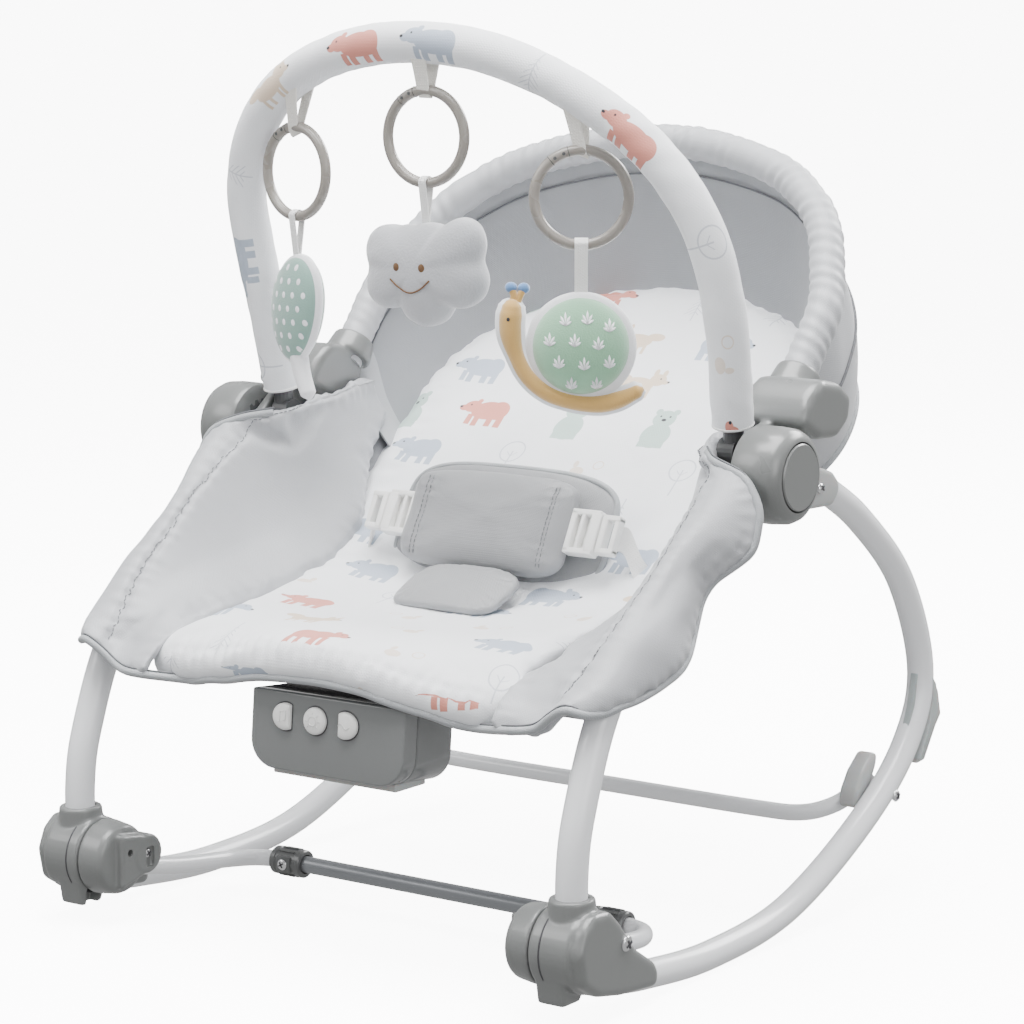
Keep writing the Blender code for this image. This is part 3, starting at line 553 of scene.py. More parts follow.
def makeFrontStand():
    stand = frontStand
    for word, side in sides:
        route = [(stand["x"], foot["y"] + 0.020, 0.0340), (stand["x"], -0.165, 0.0250),
                 (stand["x"], -0.122, 0.0195), (stand["x"] - 0.009, -0.1010, stand["barZ"]),
                 (stand["x"] - 0.024, stand["barY"], stand["barZ"]),
                 (stand["clampX"] + 0.002, stand["barY"], stand["barZ"])]
        line = evenLine(smoothLine([at(side * x, y, z) for x, y, z in route], 12), 60)
        tube("standStub_" + word, line, stand["radius"], whitePaint, "front_stand",
             ("stand_stub_" + word,), 24)
        centre = at(side * stand["clampX"], stand["barY"], stand["barZ"])
        sleeve = [(0.0066, -0.0130), (0.0088, -0.0130), (0.0097, -0.0122), (0.0098, -0.0085),
                  (0.0092, -0.0078), (0.0092, 0.0078), (0.0098, 0.0085), (0.0097, 0.0122),
                  (0.0088, 0.0130), (0.0066, 0.0130)]
        clamp = turned(sleeve, centre, (1, 0, 0), 40)
        ribs = [box((0.0136, 0.0022, 0.0018), centre + Vector((0, cos(t) * 0.0093, sin(t) * 0.0093)),
                    (t, 0, 0), 0.0005, 2) for t in (1.05, 1.57, 2.09, 4.19, 4.71, 5.24, 0.3, 5.98)]
        pad = box((0.0125, 0.004, 0.0120), centre + Vector((0, -0.0082, 0)), (0, 0, 0), 0.0015, 2)
        piece = addPiece("standClamp_" + word, merged(clamp, pad, *ribs), darkClamp, "front_stand",
                         ("stand_clamp_" + word,))
        screwHead("clampScrew_" + word, centre + Vector((0, -0.0104, 0)), (0, -1, 0), 0.0040, "front_stand",
                  ("clamp_screw_" + word,), 0.0016)
    reach = stand["clampX"] - 0.001
    tube("standCrossbar", [at(-reach, stand["barY"], stand["barZ"]),
                           at(reach, stand["barY"], stand["barZ"])], stand["radius"], silverPaint,
         "front_stand", ("stand_crossbar",), 24)


def makeFrontHousings():
    y, z, radius = foot["y"], foot["z"], foot["radius"]
    for word, side in sides:
        barrel = roundBar(at(side * 0.1835, y, z), at(side * 0.2130, y, z), radius, None, 0.002)
        cheek = plate([(-0.2520, 0.0280), (-0.2560, 0.0480), (-0.2500, 0.0620), (-0.2400, 0.0700),
                       (-0.2230, 0.0690), (-0.2120, 0.0590), (-0.1960, 0.0400), (-0.1740, 0.0260),
                       (-0.1700, 0.0190), (-0.1720, 0.0100), (-0.2100, 0.0130), (-0.2360, 0.0180)],
                      side * 0.1960, side * 0.2215, 0.006, 3)
        collar = roundBar(at(side * 0.200, -0.2335, 0.050), at(side * 0.200, -0.2345, 0.0765), 0.0165,
                          0.0142, 0.001)
        peg = plate([(-0.2540, 0.0350), (-0.2500, 0.0120), (-0.2310, 0.0120), (-0.2270, 0.0220),
                     (-0.2260, 0.0350)], side * 0.1850, side * 0.2050, 0.0022, 2)
        pegHollow = box((0.0120, 0.0130, 0.0180), at(side * 0.1880, -0.2400, 0.0195), (0, 0, 0), 0.001, 2)
        bore = roundBar(at(side * 0.200, -0.2336, 0.0600), at(side * 0.200, -0.2345, 0.0900), 0.0103)
        piece = moulded("frontHousing_" + word, (barrel, cheek, collar, peg), 0.0010, 6, greyPlastic,
                        "base", ("front_housing_" + word,), (pegHollow, bore))
        # the parting seam is a thin dark ring of painted shade, not a cut groove
        seam = [(radius + 0.0001, -0.0006), (radius + 0.0005, 0.0), (radius + 0.0001, 0.0006),
                (radius - 0.002, 0.0)]
        seam.append(seam[0])
        addPiece("housingSeam_" + word, turned(seam, at(side * 0.1920, y, z), (1, 0, 0), 48), gapShade,
                 "base")
        screwHead("housingScrew_" + word, at(side * 0.2218, -0.2080, 0.0455), (side, 0, -0.1), 0.0052,
                  "base")
        cap = [(0.0, 0.0), (0.0195, 0.0), (0.0222, 0.0012), (0.0236, 0.0040), (0.0252, 0.0160),
               (0.0252, 0.0194), (0.0, 0.0194)]
        drumPart = turned(cap, at(side * 0.1632, y, z), (side, 0, 0), 48)
        lobe = roundBar(at(side * 0.1575, -0.2140, 0.0450), at(side * 0.1750, -0.2140, 0.0450), 0.0135,
                        None, 0.002)
        bridge = plate([(-0.2400, 0.0620), (-0.2160, 0.0585), (-0.2140, 0.0320), (-0.2400, 0.0250)],
                       side * 0.1580, side * 0.1750, 0.002, 2)
        slit = box((0.006, 0.0080, 0.0140), at(side * 0.1575, -0.2130, 0.0430), (0, 0, 0), 0.002, 3)
        hole = roundBar(at(side * 0.150, -0.2320, 0.0490), at(side * 0.166, -0.2320, 0.0490), 0.0024)
        piece = moulded("standCap_" + word, (drumPart, lobe, bridge), 0.0010, 5, greyPlastic, "front_stand",
                        ("stand_cap_" + word,), (slit, hole))
        screwHead("capScrew_" + word, at(side * 0.1608, -0.2132, 0.0450), (-side, 0, 0), 0.0036,
                  "front_stand")


def makeRearFittings():
    for word, side in sides:
        leaf = plate([(0.1040, 0.0640), (0.1060, 0.0760), (0.1150, 0.0880), (0.1290, 0.0985),
                      (0.1345, 0.0970), (0.1330, 0.0890), (0.1240, 0.0740), (0.1120, 0.0630)],
                     side * 0.1850, side * 0.1990, 0.0030, 3)
        piece = addPiece("rearSaddle_" + word, leaf, palePlastic, "base", ("rear_saddle_" + word,))
        wedge = plate([(0.1600, 0.0870), (0.1700, 0.0880), (0.1850, 0.1090), (0.1925, 0.1170),
                       (0.1880, 0.1340), (0.1830, 0.1420), (0.1740, 0.1480), (0.1770, 0.1350),
                       (0.1760, 0.1180), (0.1700, 0.1020)], side * 0.2000, side * 0.2160, 0.0016, 3)
        piece = addPiece("railStop_" + word, wedge, palePlastic, "base", ("rail_stop_" + word,))
        layer = plate([(0.1610, 0.0900), (0.1660, 0.0905), (0.1800, 0.1120), (0.1855, 0.1230),
                       (0.1820, 0.1400), (0.1760, 0.1470), (0.1775, 0.1300), (0.1740, 0.1140)],
                      side * 0.1985, side * 0.2175, 0.0008, 2)
        addPiece("railStopLayer_" + word, layer, palePlastic, "base")
        sliver = plate([(0.1490, 0.1010), (0.1510, 0.1030), (0.1632, 0.1250), (0.1672, 0.1480),
                        (0.1656, 0.1490), (0.1605, 0.1270)], side * 0.2060, side * 0.2110, 0.0006, 2)
        addPiece("railStopLip_" + word, sliver, palePlastic, "base")
        screwHead("rearScrew_" + word, at(side * 0.2172, 0.1275, 0.0710), (side, 0, 0), 0.0042, "base")


darkClamp = hardMaterial("clampPlastic", (0.10, 0.103, 0.103), 0.34, 1100.0, 0.06, 0.12, Coat_Weight=0.2)


# --- hubs and shoulders

hub = {"y": -0.040, "z": 0.311, "inner": 0.2035, "outer": 0.2390, "radius": 0.0310, "cap": 0.0215}


def makeHubs():
    y, z = hub["y"], hub["z"]
    for word, side in sides:
        r, wide = hub["radius"], hub["outer"] - hub["inner"]
        rim = [(0.0, 0.0), (r - 0.004, 0.0), (r - 0.0012, 0.0012), (r, 0.0040), (r + 0.0002, wide * 0.5),
               (r - 0.0006, wide - 0.0080), (r - 0.0026, wide - 0.0038), (r - 0.0056, wide - 0.0014),
               (r - 0.0080, wide - 0.0004), (hub["cap"] + 0.0011, wide - 0.0004),
               (hub["cap"] + 0.0007, wide - 0.0014), (hub["cap"] + 0.0006, wide - 0.0105),
               (0.0, wide - 0.0105)]
        drum = turned(rim, at(side * hub["inner"], y, z), (side, 0, 0), 72)
        lug = plate([(-0.0200, 0.2900), (0.0020, 0.2830), (0.0360, 0.2820), (0.0440, 0.2900),
                     (0.0440, 0.2980), (0.0360, 0.3050), (0.0100, 0.3120), (-0.0180, 0.3180)],
                    side * 0.2045, side * 0.2190, 0.0040, 3)
        boss = roundBar(at(side * 0.2025, -0.0560, 0.3020), at(side * 0.2025, -0.0800, 0.2865), 0.0138,
                        0.0128, 0.002)
        piece = addPiece("hubShell_" + word, drum, greyPlastic, "base", ("hub_shell_" + word,), 35)
        piece = addPiece("hubLug_" + word, lug, palePlastic, "base")
        addPiece("hubBoss_" + word, boss, greyPlastic, "base")
        face = [(0.0, 0.0), (hub["cap"] - 0.0008, 0.0), (hub["cap"] - 0.0001, -0.0008),
                (hub["cap"], -0.0060), (0.0, -0.0060)]
        button = turned(face, at(side * 0.2396, y, z), (side, 0, 0), 72)
        piece = addPiece("hubButton_" + word, button, greyPlastic, "hub_button_" + word,
                         ("hub_button_" + word,), 35)
        screwHead("lugScrewA_" + word, at(side * 0.2194, 0.0040, 0.3040), (side, 0, 0.2), 0.0036, "base")
        screwHead("lugScrewB_" + word, at(side * 0.2194, 0.0170, 0.2960), (side, 0, 0.2), 0.0036, "base")


def makeShoulders():
    for word, side in sides:
        block = plate([(-0.0180, 0.3400), (-0.0130, 0.3520), (-0.0040, 0.3620), (0.0080, 0.3680),
                       (0.0300, 0.3640), (0.0450, 0.3540), (0.0420, 0.3380), (0.0280, 0.3280),
                       (0.0040, 0.3290), (-0.0080, 0.3350)], side * 0.1760, side * 0.2270, 0.0060, 3)
        arm = plate([(-0.0530, 0.3050), (-0.0400, 0.2970), (-0.0280, 0.3010), (0.0240, 0.3380),
                     (0.0100, 0.3480), (-0.0300, 0.3380), (-0.0500, 0.3230)], side * 0.1940,
                    side * 0.2025, 0.0015, 2)
        neck = roundBar(rimPlace(side * rim["half"], 0.000), rimPlace(side * rim["half"], 0.016), 0.0175,
                        0.0150, 0.002)
        piece = moulded("shoulderBlock_" + word, (block, arm, neck), 0.0011, 7, greyPlastic, "backrest",
                        ("shoulder_" + word,))


rim = {"y": 0.0350, "z": 0.3550, "angle": 51, "half": 0.186}


def rimPlace(x, along):   # a place in the hood rim's plane
    lean = radians(rim["angle"])
    return at(x, rim["y"] + along * cos(lean), rim["z"] + along * sin(lean))


# --- the printed cloth

printCell = {"wide": 0.074, "high": 0.041, "shift": 0.5}
printTint = {"salmon": (0.62, 0.18, 0.12), "slate": (0.35, 0.41, 0.51), "mint": (0.38, 0.51, 0.46),
             "sand": (0.66, 0.52, 0.38), "twig": (0.50, 0.52, 0.58), "ink": (0.03, 0.03, 0.035),
             "cloth": (0.86, 0.875, 0.90)}


class Motif:   # shapes drawn in millimetres about the middle of one cell of the print
    def __init__(self, tree, x, y):
        self.tree = tree
        self.x = x
        self.y = y

    def oval(self, cx, cy, rx, ry):
        a = (self.x - cx) / rx
        b = (self.y - cy) / ry
        return ((a * a + b * b).step('SQRT') - 1.0) * min(rx, ry)

    def bar(self, cx, cy, hx, hy):
        return ((self.x - cx).size() - hx).most((self.y - cy).size() - hy)

    def union(self, shapes):
        out = shapes[0]
        for shape in shapes[1:]:
            out = out.least(shape)
        return out


walkingBear = {"ovals": ((-1, 1, 12, 6.6), (-7.5, 1.5, 6.6, 6.8), (11.5, 3.6, 5.6, 4.4),
                         (16.6, 2.2, 3.2, 2.2), (8.6, 8.0, 1.7, 1.7)),
               "bars": ((-11, -6.5, 2.1, 4.2), (-4.6, -6.5, 2.0, 4.0), (4.6, -6.5, 2.0, 4.2),
                        (9.6, -6.0, 1.8, 3.8)),
               "ink": ((13.2, 4.8, 0.6, 0.6), (19.0, 2.8, 1.0, 0.8))}
sittingBear = {"ovals": ((0, 6.5, 7.2, 6.2), (-5.6, 11.6, 2.2, 2.2), (5.6, 11.6, 2.2, 2.2),
                         (0, -6, 9.0, 9.2)),
               "bars": ((0, -12.6, 8.0, 2.2),),
               "ink": ((0, 5.6, 1.5, 1.0), (-3.0, 8.2, 0.65, 0.65), (3.0, 8.2, 0.65, 0.65))}
fox = {"ovals": ((-2, -1, 10, 5.2), (9, 3.4, 5.2, 4.4), (6.0, 8.4, 1.5, 2.8), (11.4, 8.4, 1.5, 2.8),
                 (-13, 2.6, 5.6, 3.0), (14.2, 2.0, 2.4, 1.5)),
       "bars": ((-9, -6.6, 1.1, 4.0), (-4.4, -6.6, 1.1, 4.0), (3.2, -6.6, 1.1, 4.0), (6.4, -6.6, 1.1, 4.0)),
       "ink": ((10.4, 4.4, 0.55, 0.55), (16.4, 2.2, 0.8, 0.7))}


def makePrint():   # beasts and trees scattered over white cloth, read from the piece's own UV map in metres
    group, gate, out = shaderGroup("forestPrint", [("Strength", 'NodeSocketFloat', 1.0)],
                                   [("Colour", 'NodeSocketColor'), ("Height", 'NodeSocketFloat')])
    links = group.links
    uv = group.nodes.new("ShaderNodeUVMap")
    parts = group.nodes.new("ShaderNodeSeparateXYZ")
    links.new(uv.outputs["UV"], parts.inputs[0])
    across = Wire(group, parts.outputs[0]) / printCell["wide"]
    along = Wire(group, parts.outputs[1]) / printCell["high"]
    row = along.step('FLOOR')
    across = across + (row * printCell["shift"]).step('FRACT')
    column = across.step('FLOOR')
    cell = group.nodes.new("ShaderNodeCombineXYZ")
    links.new(column.socket, cell.inputs[0])
    links.new(row.socket, cell.inputs[1])
    cell.inputs[2].default_value = 11.0
    chance = group.nodes.new("ShaderNodeTexWhiteNoise")
    chance.noise_dimensions = '3D'
    links.new(cell.outputs[0], chance.inputs["Vector"])
    rolls = group.nodes.new("ShaderNodeSeparateColor")
    links.new(chance.outputs["Color"], rolls.inputs[0])
    rolled = [Wire(group, rolls.outputs[k]) for k in range(3)]
    flip = (rolled[0] - 0.5).step('SIGN')
    x = ((across.step('FRACT') - 0.5) * (printCell["wide"] * 1000) + (rolled[2] - 0.5) * 14.0) * flip
    y = (along.step('FRACT') - 0.5) * (printCell["high"] * 1000) + (rolled[0] - 0.5) * 4.0
    scaled = Motif(group, x * 0.78, y * 0.78)
    kind = (rolled[1] * 7.0).step('FLOOR')
    colour = None
    ink = None
    soft = 0.28

    def paint(under, mask, tint):
        mix = group.nodes.new("ShaderNodeMix")
        mix.data_type = 'RGBA'
        links.new(mask.socket, mix.inputs["Factor"])
        if under is None:
            mix.inputs[6].default_value = (*printTint["cloth"], 1)
        else:
            links.new(under, mix.inputs[6])
        mix.inputs[7].default_value = (*printTint[tint], 1)
        return mix.outputs[2]

    beasts = ((walkingBear, 0.0, "slate"), (walkingBear, 1.0, "salmon"), (sittingBear, 2.0, "mint"),
              (fox, 3.0, "sand"))
    drawn = {}
    inked = {}
    cover = Wire(group, gate.outputs["Strength"])
    for beast, turnUp, tint in beasts:
        key = id(beast)
        if key not in drawn:
            shapes = [scaled.oval(*o) for o in beast["ovals"]] + [scaled.bar(*b) for b in beast["bars"]]
            drawn[key] = scaled.union(shapes).below(0.0, soft)
            inked[key] = scaled.union([scaled.oval(*o) for o in beast["ink"]]).below(0.0, soft)
        chosen = kind.step('COMPARE', turnUp, 0.5)
        colour = paint(colour, drawn[key] * chosen * cover * 0.9, tint)
        spots = inked[key] * chosen
        ink = spots if ink is None else ink.most(spots)
    crown = scaled.oval(0, 5, 7.5, 7.5).size() - 0.42
    trunk = scaled.bar(0, -4, 0.42, 9.5)
    spine = (y - x.size() * 0.9 - 2.0).size().most(x.size() - 4.0) - 0.4
    lollipop = crown.least(trunk).least(spine)
    colour = paint(colour, lollipop.below(0.0, soft) * kind.step('COMPARE', 4.0, 0.5) * 0.8, "twig")
    rungs = ((y + x.size() * 0.8 + 40.0) / 3.6).step('FRACT') - 0.5
    needles = (rungs.size() * 3.6 - 0.42).most(x.size() - ((y * -1.0) + 13.0) * 0.34).most(y.size() - 12.5)
    pine = needles.least(scaled.bar(0, -1, 0.35, 13.5))
    colour = paint(colour, pine.below(0.0, soft) * kind.step('COMPARE', 5.0, 0.5) * 0.8, "twig")
    pebble = (scaled.oval(6, 3, 3.2, 2.8).size() - 0.3).least(scaled.oval(-6, -2, 4.4, 3.0)).least(
        scaled.oval(-8.5, 2.8, 1.6, 2.4))
    colour = paint(colour, pebble.below(0.0, soft) * kind.step('COMPARE', 6.0, 0.5) * 0.6, "sand")
    colour = paint(colour, ink, "ink")
    links.new(colour, out.inputs["Colour"])
    fine = noiseTexture(group, uv.outputs["UV"], 260.0, 3.0, 0.6)
    links.new(fine.outputs["Fac"], out.inputs["Height"])
    return group


forestPrint = makePrint()


def printMaterial(name):
    material, tree, shader = newMaterial(name, Roughness=0.8, Sheen_Weight=0.2)
    printed = useGroup(tree, forestPrint)
    woven = useGroup(tree, weave, Threads=3000.0, Creases=0.6)
    tree.links.new(printed.outputs["Colour"], shader.inputs["Base Color"])
    addBump(tree, shader, woven.outputs["Height"], 0.35, 0.0022)
    return material


printedCotton = printMaterial("printedCotton")


# --- soft goods: skins that are blown up by a short cloth simulation

def setUv(piece, place):   # place(point) gives the cloth's own (across, along) in metres
    data = piece.data
    layer = data.uv_layers.get("UVMap") or data.uv_layers.new(name="UVMap")
    spots = [place(v.co) for v in data.vertices]
    for loop in data.loops:
        layer.data[loop.index].uv = spots[loop.vertex_index]


blow = {"mass": 0.2, "quality": 5, "stretch": 15.0, "squeeze": 9.0, "bend": 0.4, "frames": 20}


def puffed(piece, voxel, pressure, cap):   # blown up over a few frames, no point by more than the cap
    skin = piece.modifiers.new("skin", 'REMESH')
    skin.mode = 'VOXEL'
    skin.voxel_size = voxel
    soften = piece.modifiers.new("soften", 'SMOOTH')
    soften.iterations = 2
    applyAll(piece)
    start = [v.co.copy() for v in piece.data.vertices]
    cloth = piece.modifiers.new("cloth", 'CLOTH')
    cloth.settings.quality = blow["quality"]
    cloth.settings.mass = blow["mass"]
    cloth.settings.tension_stiffness = blow["stretch"]
    cloth.settings.compression_stiffness = blow["squeeze"]
    cloth.settings.bending_stiffness = blow["bend"]
    cloth.settings.use_pressure = True
    cloth.settings.uniform_pressure_force = pressure
    cloth.settings.effector_weights.gravity = 0.0
    for number in range(1, blow["frames"] + 1):
        bpy.context.scene.frame_set(number)
    shaped = evaluatedMesh(piece)
    piece.modifiers.clear()
    for vertex, blown, first in zip(piece.data.vertices, shaped.vertices, start):
        move = blown.co - first
        if move.length > cap:
            move *= cap / move.length
        vertex.co = first + move
    bpy.data.meshes.remove(shaped)
    bpy.context.scene.frame_set(1)
    fine = piece.modifiers.new("fine", 'SUBSURF')
    fine.levels = 1
    fine.render_levels = 1
    applyAll(piece)
    piece.data.shade_smooth()


def sheetGrid(rows):   # a bmesh skin over rows of points
    bm = bmesh.new()
    grid = [[bm.verts.new(p) for p in row] for row in rows]
    for low, high in zip(grid, grid[1:]):
        for k in range(len(low) - 1):
            bm.faces.new((low[k], low[k + 1], high[k + 1], high[k]))
    return bm


def thickened(bm, thickness):   # a skin turned into a closed slab below itself
    bmesh.ops.remove_doubles(bm, verts=bm.verts, dist=0.0002)
    bmesh.ops.recalc_face_normals(bm, faces=bm.faces)
    bmesh.ops.solidify(bm, geom=bm.faces[:], thickness=thickness)
    return bm


def nearTree(points):
    tree = KDTree(len(points))
    for number, spot in enumerate(points):
        tree.insert(spot, number)
    tree.balance()
    return tree


def skinTree(piece):
    data = piece.data
    return BVHTree.FromPolygons([v.co for v in data.vertices], [p.vertices for p in data.polygons])


def groove(piece, line, depth, width, pucker, pitch, reach=0.02):   # presses a sewn line into a pad
    tree = nearTree(line)
    lengths = runLengths(line)
    data = piece.data
    normals = [v.normal.copy() for v in data.vertices]
    for vertex, normal in zip(data.vertices, normals):
        spot, number, away = tree.find(vertex.co)
        if away > reach:
            continue
        press = depth * exp(-(away / width) ** 2)
        wave = sin(2 * pi * lengths[number] / pitch + 2.0 * noise.noise(spot * 70.0))
        press += pucker * wave * exp(-(away / (width * 3.2)) ** 2)
        vertex.co -= normal * press


def crease(piece, amount, stretch, seed=0.0):   # slow folds; stretch sets how long they run on each axis
    data = piece.data
    normals = [v.normal.copy() for v in data.vertices]
    for vertex, normal in zip(data.vertices, normals):
        spot = Vector((vertex.co.x * stretch[0], vertex.co.y * stretch[1], vertex.co.z * stretch[2] + seed))
        vertex.co += normal * (noise.noise(spot) * 0.65 + noise.noise(spot * 2.3) * 0.35) * amount


def lineOn(line, target, lift=0.0):   # drops a line onto a piece's skin
    skin = skinTree(target)
    out = []
    for spot in line:
        place, normal = skin.find_nearest(spot)[:2]
        out.append(place + normal * lift)
    return out


stitch = {"length": 0.0026, "gap": 0.0014, "radius": 0.00032, "step": 0.0006}


def stitches(name, line, body):
    line = evenLine(line, max(8, int(runLengths(line)[-1] / stitch["step"])))
    step = (line[1] - line[0]).length
    run, skip = max(2, int(stitch["length"] / step)), max(1, int(stitch["gap"] / step))
    parts = []
    k = 0
    while k + run < len(line):
        dash = [line[k], line[k + run // 2], line[k + run]]
        parts.append(tubeMesh(dash, stitch["radius"], 5))
        k += run + skip
    addPiece(name, merged(*parts), threadGrey, body)


# --- the liner: one printed pad from the front edge to the top of the back

liner = {"profile": ((-0.2380, 0.1740), (-0.2440, 0.1830), (-0.2390, 0.1950), (-0.2230, 0.2020),
                     (-0.1900, 0.2055), (-0.1400, 0.2055), (-0.0950, 0.2060), (-0.0600, 0.2105),
                     (-0.0330, 0.2260), (-0.0100, 0.2430)),
         "back": (0.060, 0.100, 0.140, 0.180, 0.220, 0.260, 0.285, 0.302),
         "widths": ((0.000, 0.153), (0.040, 0.151), (0.080, 0.140), (0.120, 0.137), (0.170, 0.138),
                    (0.215, 0.150), (0.260, 0.160), (0.330, 0.170), (0.400, 0.173)),
         "thickness": 0.011, "hipY": -0.040, "hipZ": 0.215, "angle": 40, "crown": 0.122,
         "scallopHalf": 0.122, "crownPower": 2.15, "front": 0.147, "scallop": 0.0070, "bow": -0.006,
         "forward": 0.022, "edgeRise": 0.010}


def backPlace(x, along, depth=0.0):   # a place on the back pad's surface, or depth below it
    lean = radians(liner["angle"])
    return at(x, liner["hipY"] + along * cos(lean) + depth * sin(lean),
              liner["hipZ"] + along * sin(lean) - depth * cos(lean))


def between(table, value):
    for (a, low), (b, high) in zip(table, table[1:]):
        if value <= b:
            share = min(1.0, max(0.0, (value - a) / (b - a)))
            share = share * share * (3 - 2 * share)
            return low + (high - low) * share
    return table[-1][1]


def linerSpine():
    points = [at(0, y, z) for y, z in liner["profile"]] + [backPlace(0, s) for s in liner["back"]]
    return evenLine(smoothLine(points, 8), 150)


def linerRows(spine, inset):
    lengths = runLengths(spine)
    crownStart = lengths[-1] - liner["crown"]
    rows = []
    for run, spot in zip(lengths, spine):
        half = between(liner["widths"], run)
        if run > crownStart:
            share = (run - crownStart) / (lengths[-1] - crownStart)
            half = liner["widths"][-1][1] * max(0.0, 1 - share ** liner["crownPower"]) ** 0.5
        half = max(half - inset, 0.0005)
        row = []
        for j in range(61):
            u = -1 + 2 * j / 60
            x = half * sin(u * pi / 2) if run > crownStart else half * u
            scallop = liner["scallop"] * cos(pi * x / liner["scallopHalf"]) * exp(-(run / 0.055) ** 2)
            bow = liner["bow"] * (x / liner["front"]) ** 2 * exp(-(run / 0.10) ** 2)
            forward = liner["forward"] * (x / liner["front"]) ** 2 * exp(-(run / 0.05) ** 2)
            edgeRise = liner["edgeRise"] * abs(u) ** 3 * exp(-((run - 0.20) / 0.10) ** 2)
            row.append(spot + Vector((x, forward, scallop + bow + edgeRise)))
        rows.append(row)
    return rows


def makeLiner():
    spine = linerSpine()
    rows = linerRows(spine, 0.002)
    bm = thickened(sheetGrid(rows), liner["thickness"])
    piece = addPiece("linerPad", bm, printedCotton, None, (), 0)
    puffed(piece, 0.0048, 3.0, 0.0050)
    crease(piece, 0.0016, (38, 26, 26))
    lengths = runLengths(spine)
    tree = nearTree([Vector((0, spot.y, spot.z)) for spot in spine])

    def place(point):
        spot, number = tree.find(Vector((0, point.y, point.z)))[:2]
        ahead = spine[min(number + 1, len(spine) - 1)] - spine[max(number - 1, 0)]
        off = (Vector((0, point.y, point.z)) - spot).dot(ahead.normalized())
        return (point.x + 0.011, lengths[number] + off + 0.012)

    edge = [row[5] for row in rows[20:-6]] + [row[-6] for row in reversed(rows[20:-6])]
    groove(piece, evenLine(edge, 500), 0.0020, 0.0032, 0.0006, 0.016)
    groove(piece, evenLine(rows[9][4:57], 200), 0.0008, 0.0030, 0.0010, 0.010)
    setUv(piece, place)
    tuple(at(0, -0.075, 0.205))
    tuple(at(0, 0.015, 0.262))
    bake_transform(piece)
    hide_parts("seat_pad", "back_pad")
    return rows


# --- side bolsters over the seat tubes

bolster = {"inner": ((0.141, -0.241, 0.174), (0.138, -0.232, 0.189), (0.136, -0.205, 0.202),
                     (0.133, -0.162, 0.206), (0.130, -0.120, 0.207), (0.127, -0.085, 0.211),
                     (0.123, -0.050, 0.220), (0.125, -0.018, 0.242), (0.142, 0.012, 0.272),
                     (0.155, 0.036, 0.294), (0.160, 0.052, 0.316)),
           "ridge": ((0.182, -0.237, 0.186), (0.195, -0.217, 0.199), (0.200, -0.188, 0.226),
                     (0.201, -0.160, 0.250), (0.201, -0.131, 0.274), (0.201, -0.105, 0.295),
                     (0.196, -0.082, 0.312), (0.183, -0.062, 0.324), (0.167, -0.034, 0.333),
                     (0.165, 0.000, 0.338), (0.166, 0.030, 0.342), (0.165, 0.048, 0.341)),
           "outer": ((0.206, -0.224, 0.179), (0.216, -0.204, 0.184), (0.219, -0.176, 0.192),
                     (0.221, -0.150, 0.204), (0.217, -0.126, 0.224), (0.213, -0.110, 0.247),
                     (0.220, -0.099, 0.260), (0.228, -0.090, 0.272), (0.230, -0.084, 0.292),
                     (0.222, -0.079, 0.314), (0.200, -0.071, 0.325), (0.178, -0.056, 0.325),
                     (0.169, -0.030, 0.326), (0.168, 0.005, 0.330), (0.168, 0.035, 0.335),
                     (0.167, 0.050, 0.336)),
           "flare": {"left": -0.006, "right": 0.007}, "thickness": 0.008}


def bolsterRows(word, side):
    rows = []
    lines = []
    for key in ("inner", "ridge", "outer"):
        points = []
        for x, y, z in bolster[key]:
            flare = bolster["flare"][word] * min(1.0, max(0.0, (x - 0.217) / 0.008))
            points.append(at(side * (x + flare), y, z))
        lines.append(evenLine(smoothLine(points, 8), 56))
    for inner, ridge, outer in zip(*lines):
        width = min(1.0, (outer - ridge).length / 0.03)
        middle = inner.lerp(ridge, 0.5) + Vector((side * 0.004, 0.004, -0.005))
        over = ridge.lerp(outer, 0.28) + Vector((side * 0.0075, -0.0030, 0.0060)) * width
        skirt = ridge.lerp(outer, 0.68) + Vector((side * 0.0050, -0.0030, 0.0030)) * width
        rows.append(evenLine(smoothLine([inner, middle, ridge, over, skirt, outer], 6), 44))
    return rows


def makeBolsters():
    ends = {}
    for word, side in sides:
        rows = bolsterRows(word, side)
        piece = addPiece("bolsterPad_" + word, thickened(sheetGrid(rows), bolster["thickness"]), greySatin,
                         None, (), 0)
        puffed(piece, 0.0045, 3.5, 0.0040)
        crease(piece, 0.0013, (22, 22, 22), side * 3.0)
        ridge = evenLine(smoothLine([at(side * x, y, z) for x, y, z in bolster["ridge"]], 8), 200)[6:-8]
        seam = lineOn([spot + Vector((side * -0.011, 0.004, 0.004)) for spot in ridge], piece)
        groove(piece, seam, 0.0026, 0.0030, 0.0006, 0.0110)
        hem = [row[-3] for row in rows]
        groove(piece, evenLine(hem, 260), 0.0010, 0.0022, 0.0004, 0.0095)
        inside = [row[3] for row in rows]
        groove(piece, evenLine(inside, 260), 0.0012, 0.0030, 0.0004, 0.0120)
        tuple(at(0, -0.030, 0.240))
        tuple(at(0, 0.050, 0.300))
        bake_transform(piece)
        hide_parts("bolster_" + word)
        sewn = lineOn(evenLine(seam, 260), piece, 0.0003)
        near = [spot for spot in sewn if spot.y < at(0, -0.035, 0).y]
        stitches("bolsterSeam_" + word, near, "base")
        edge = [row[-1] + (row[-1] - row[-2]).normalized() * 0.0024 for row in rows[:40]]
        front = [rows[0][k] + Vector((0, -0.003, -0.003)) for k in (40, 32, 24, 16, 8)]
        ends[word] = lineOn([edge[k] for k in range(len(edge) - 1, -1, -2)] + front, piece, 0.0008)
    return ends


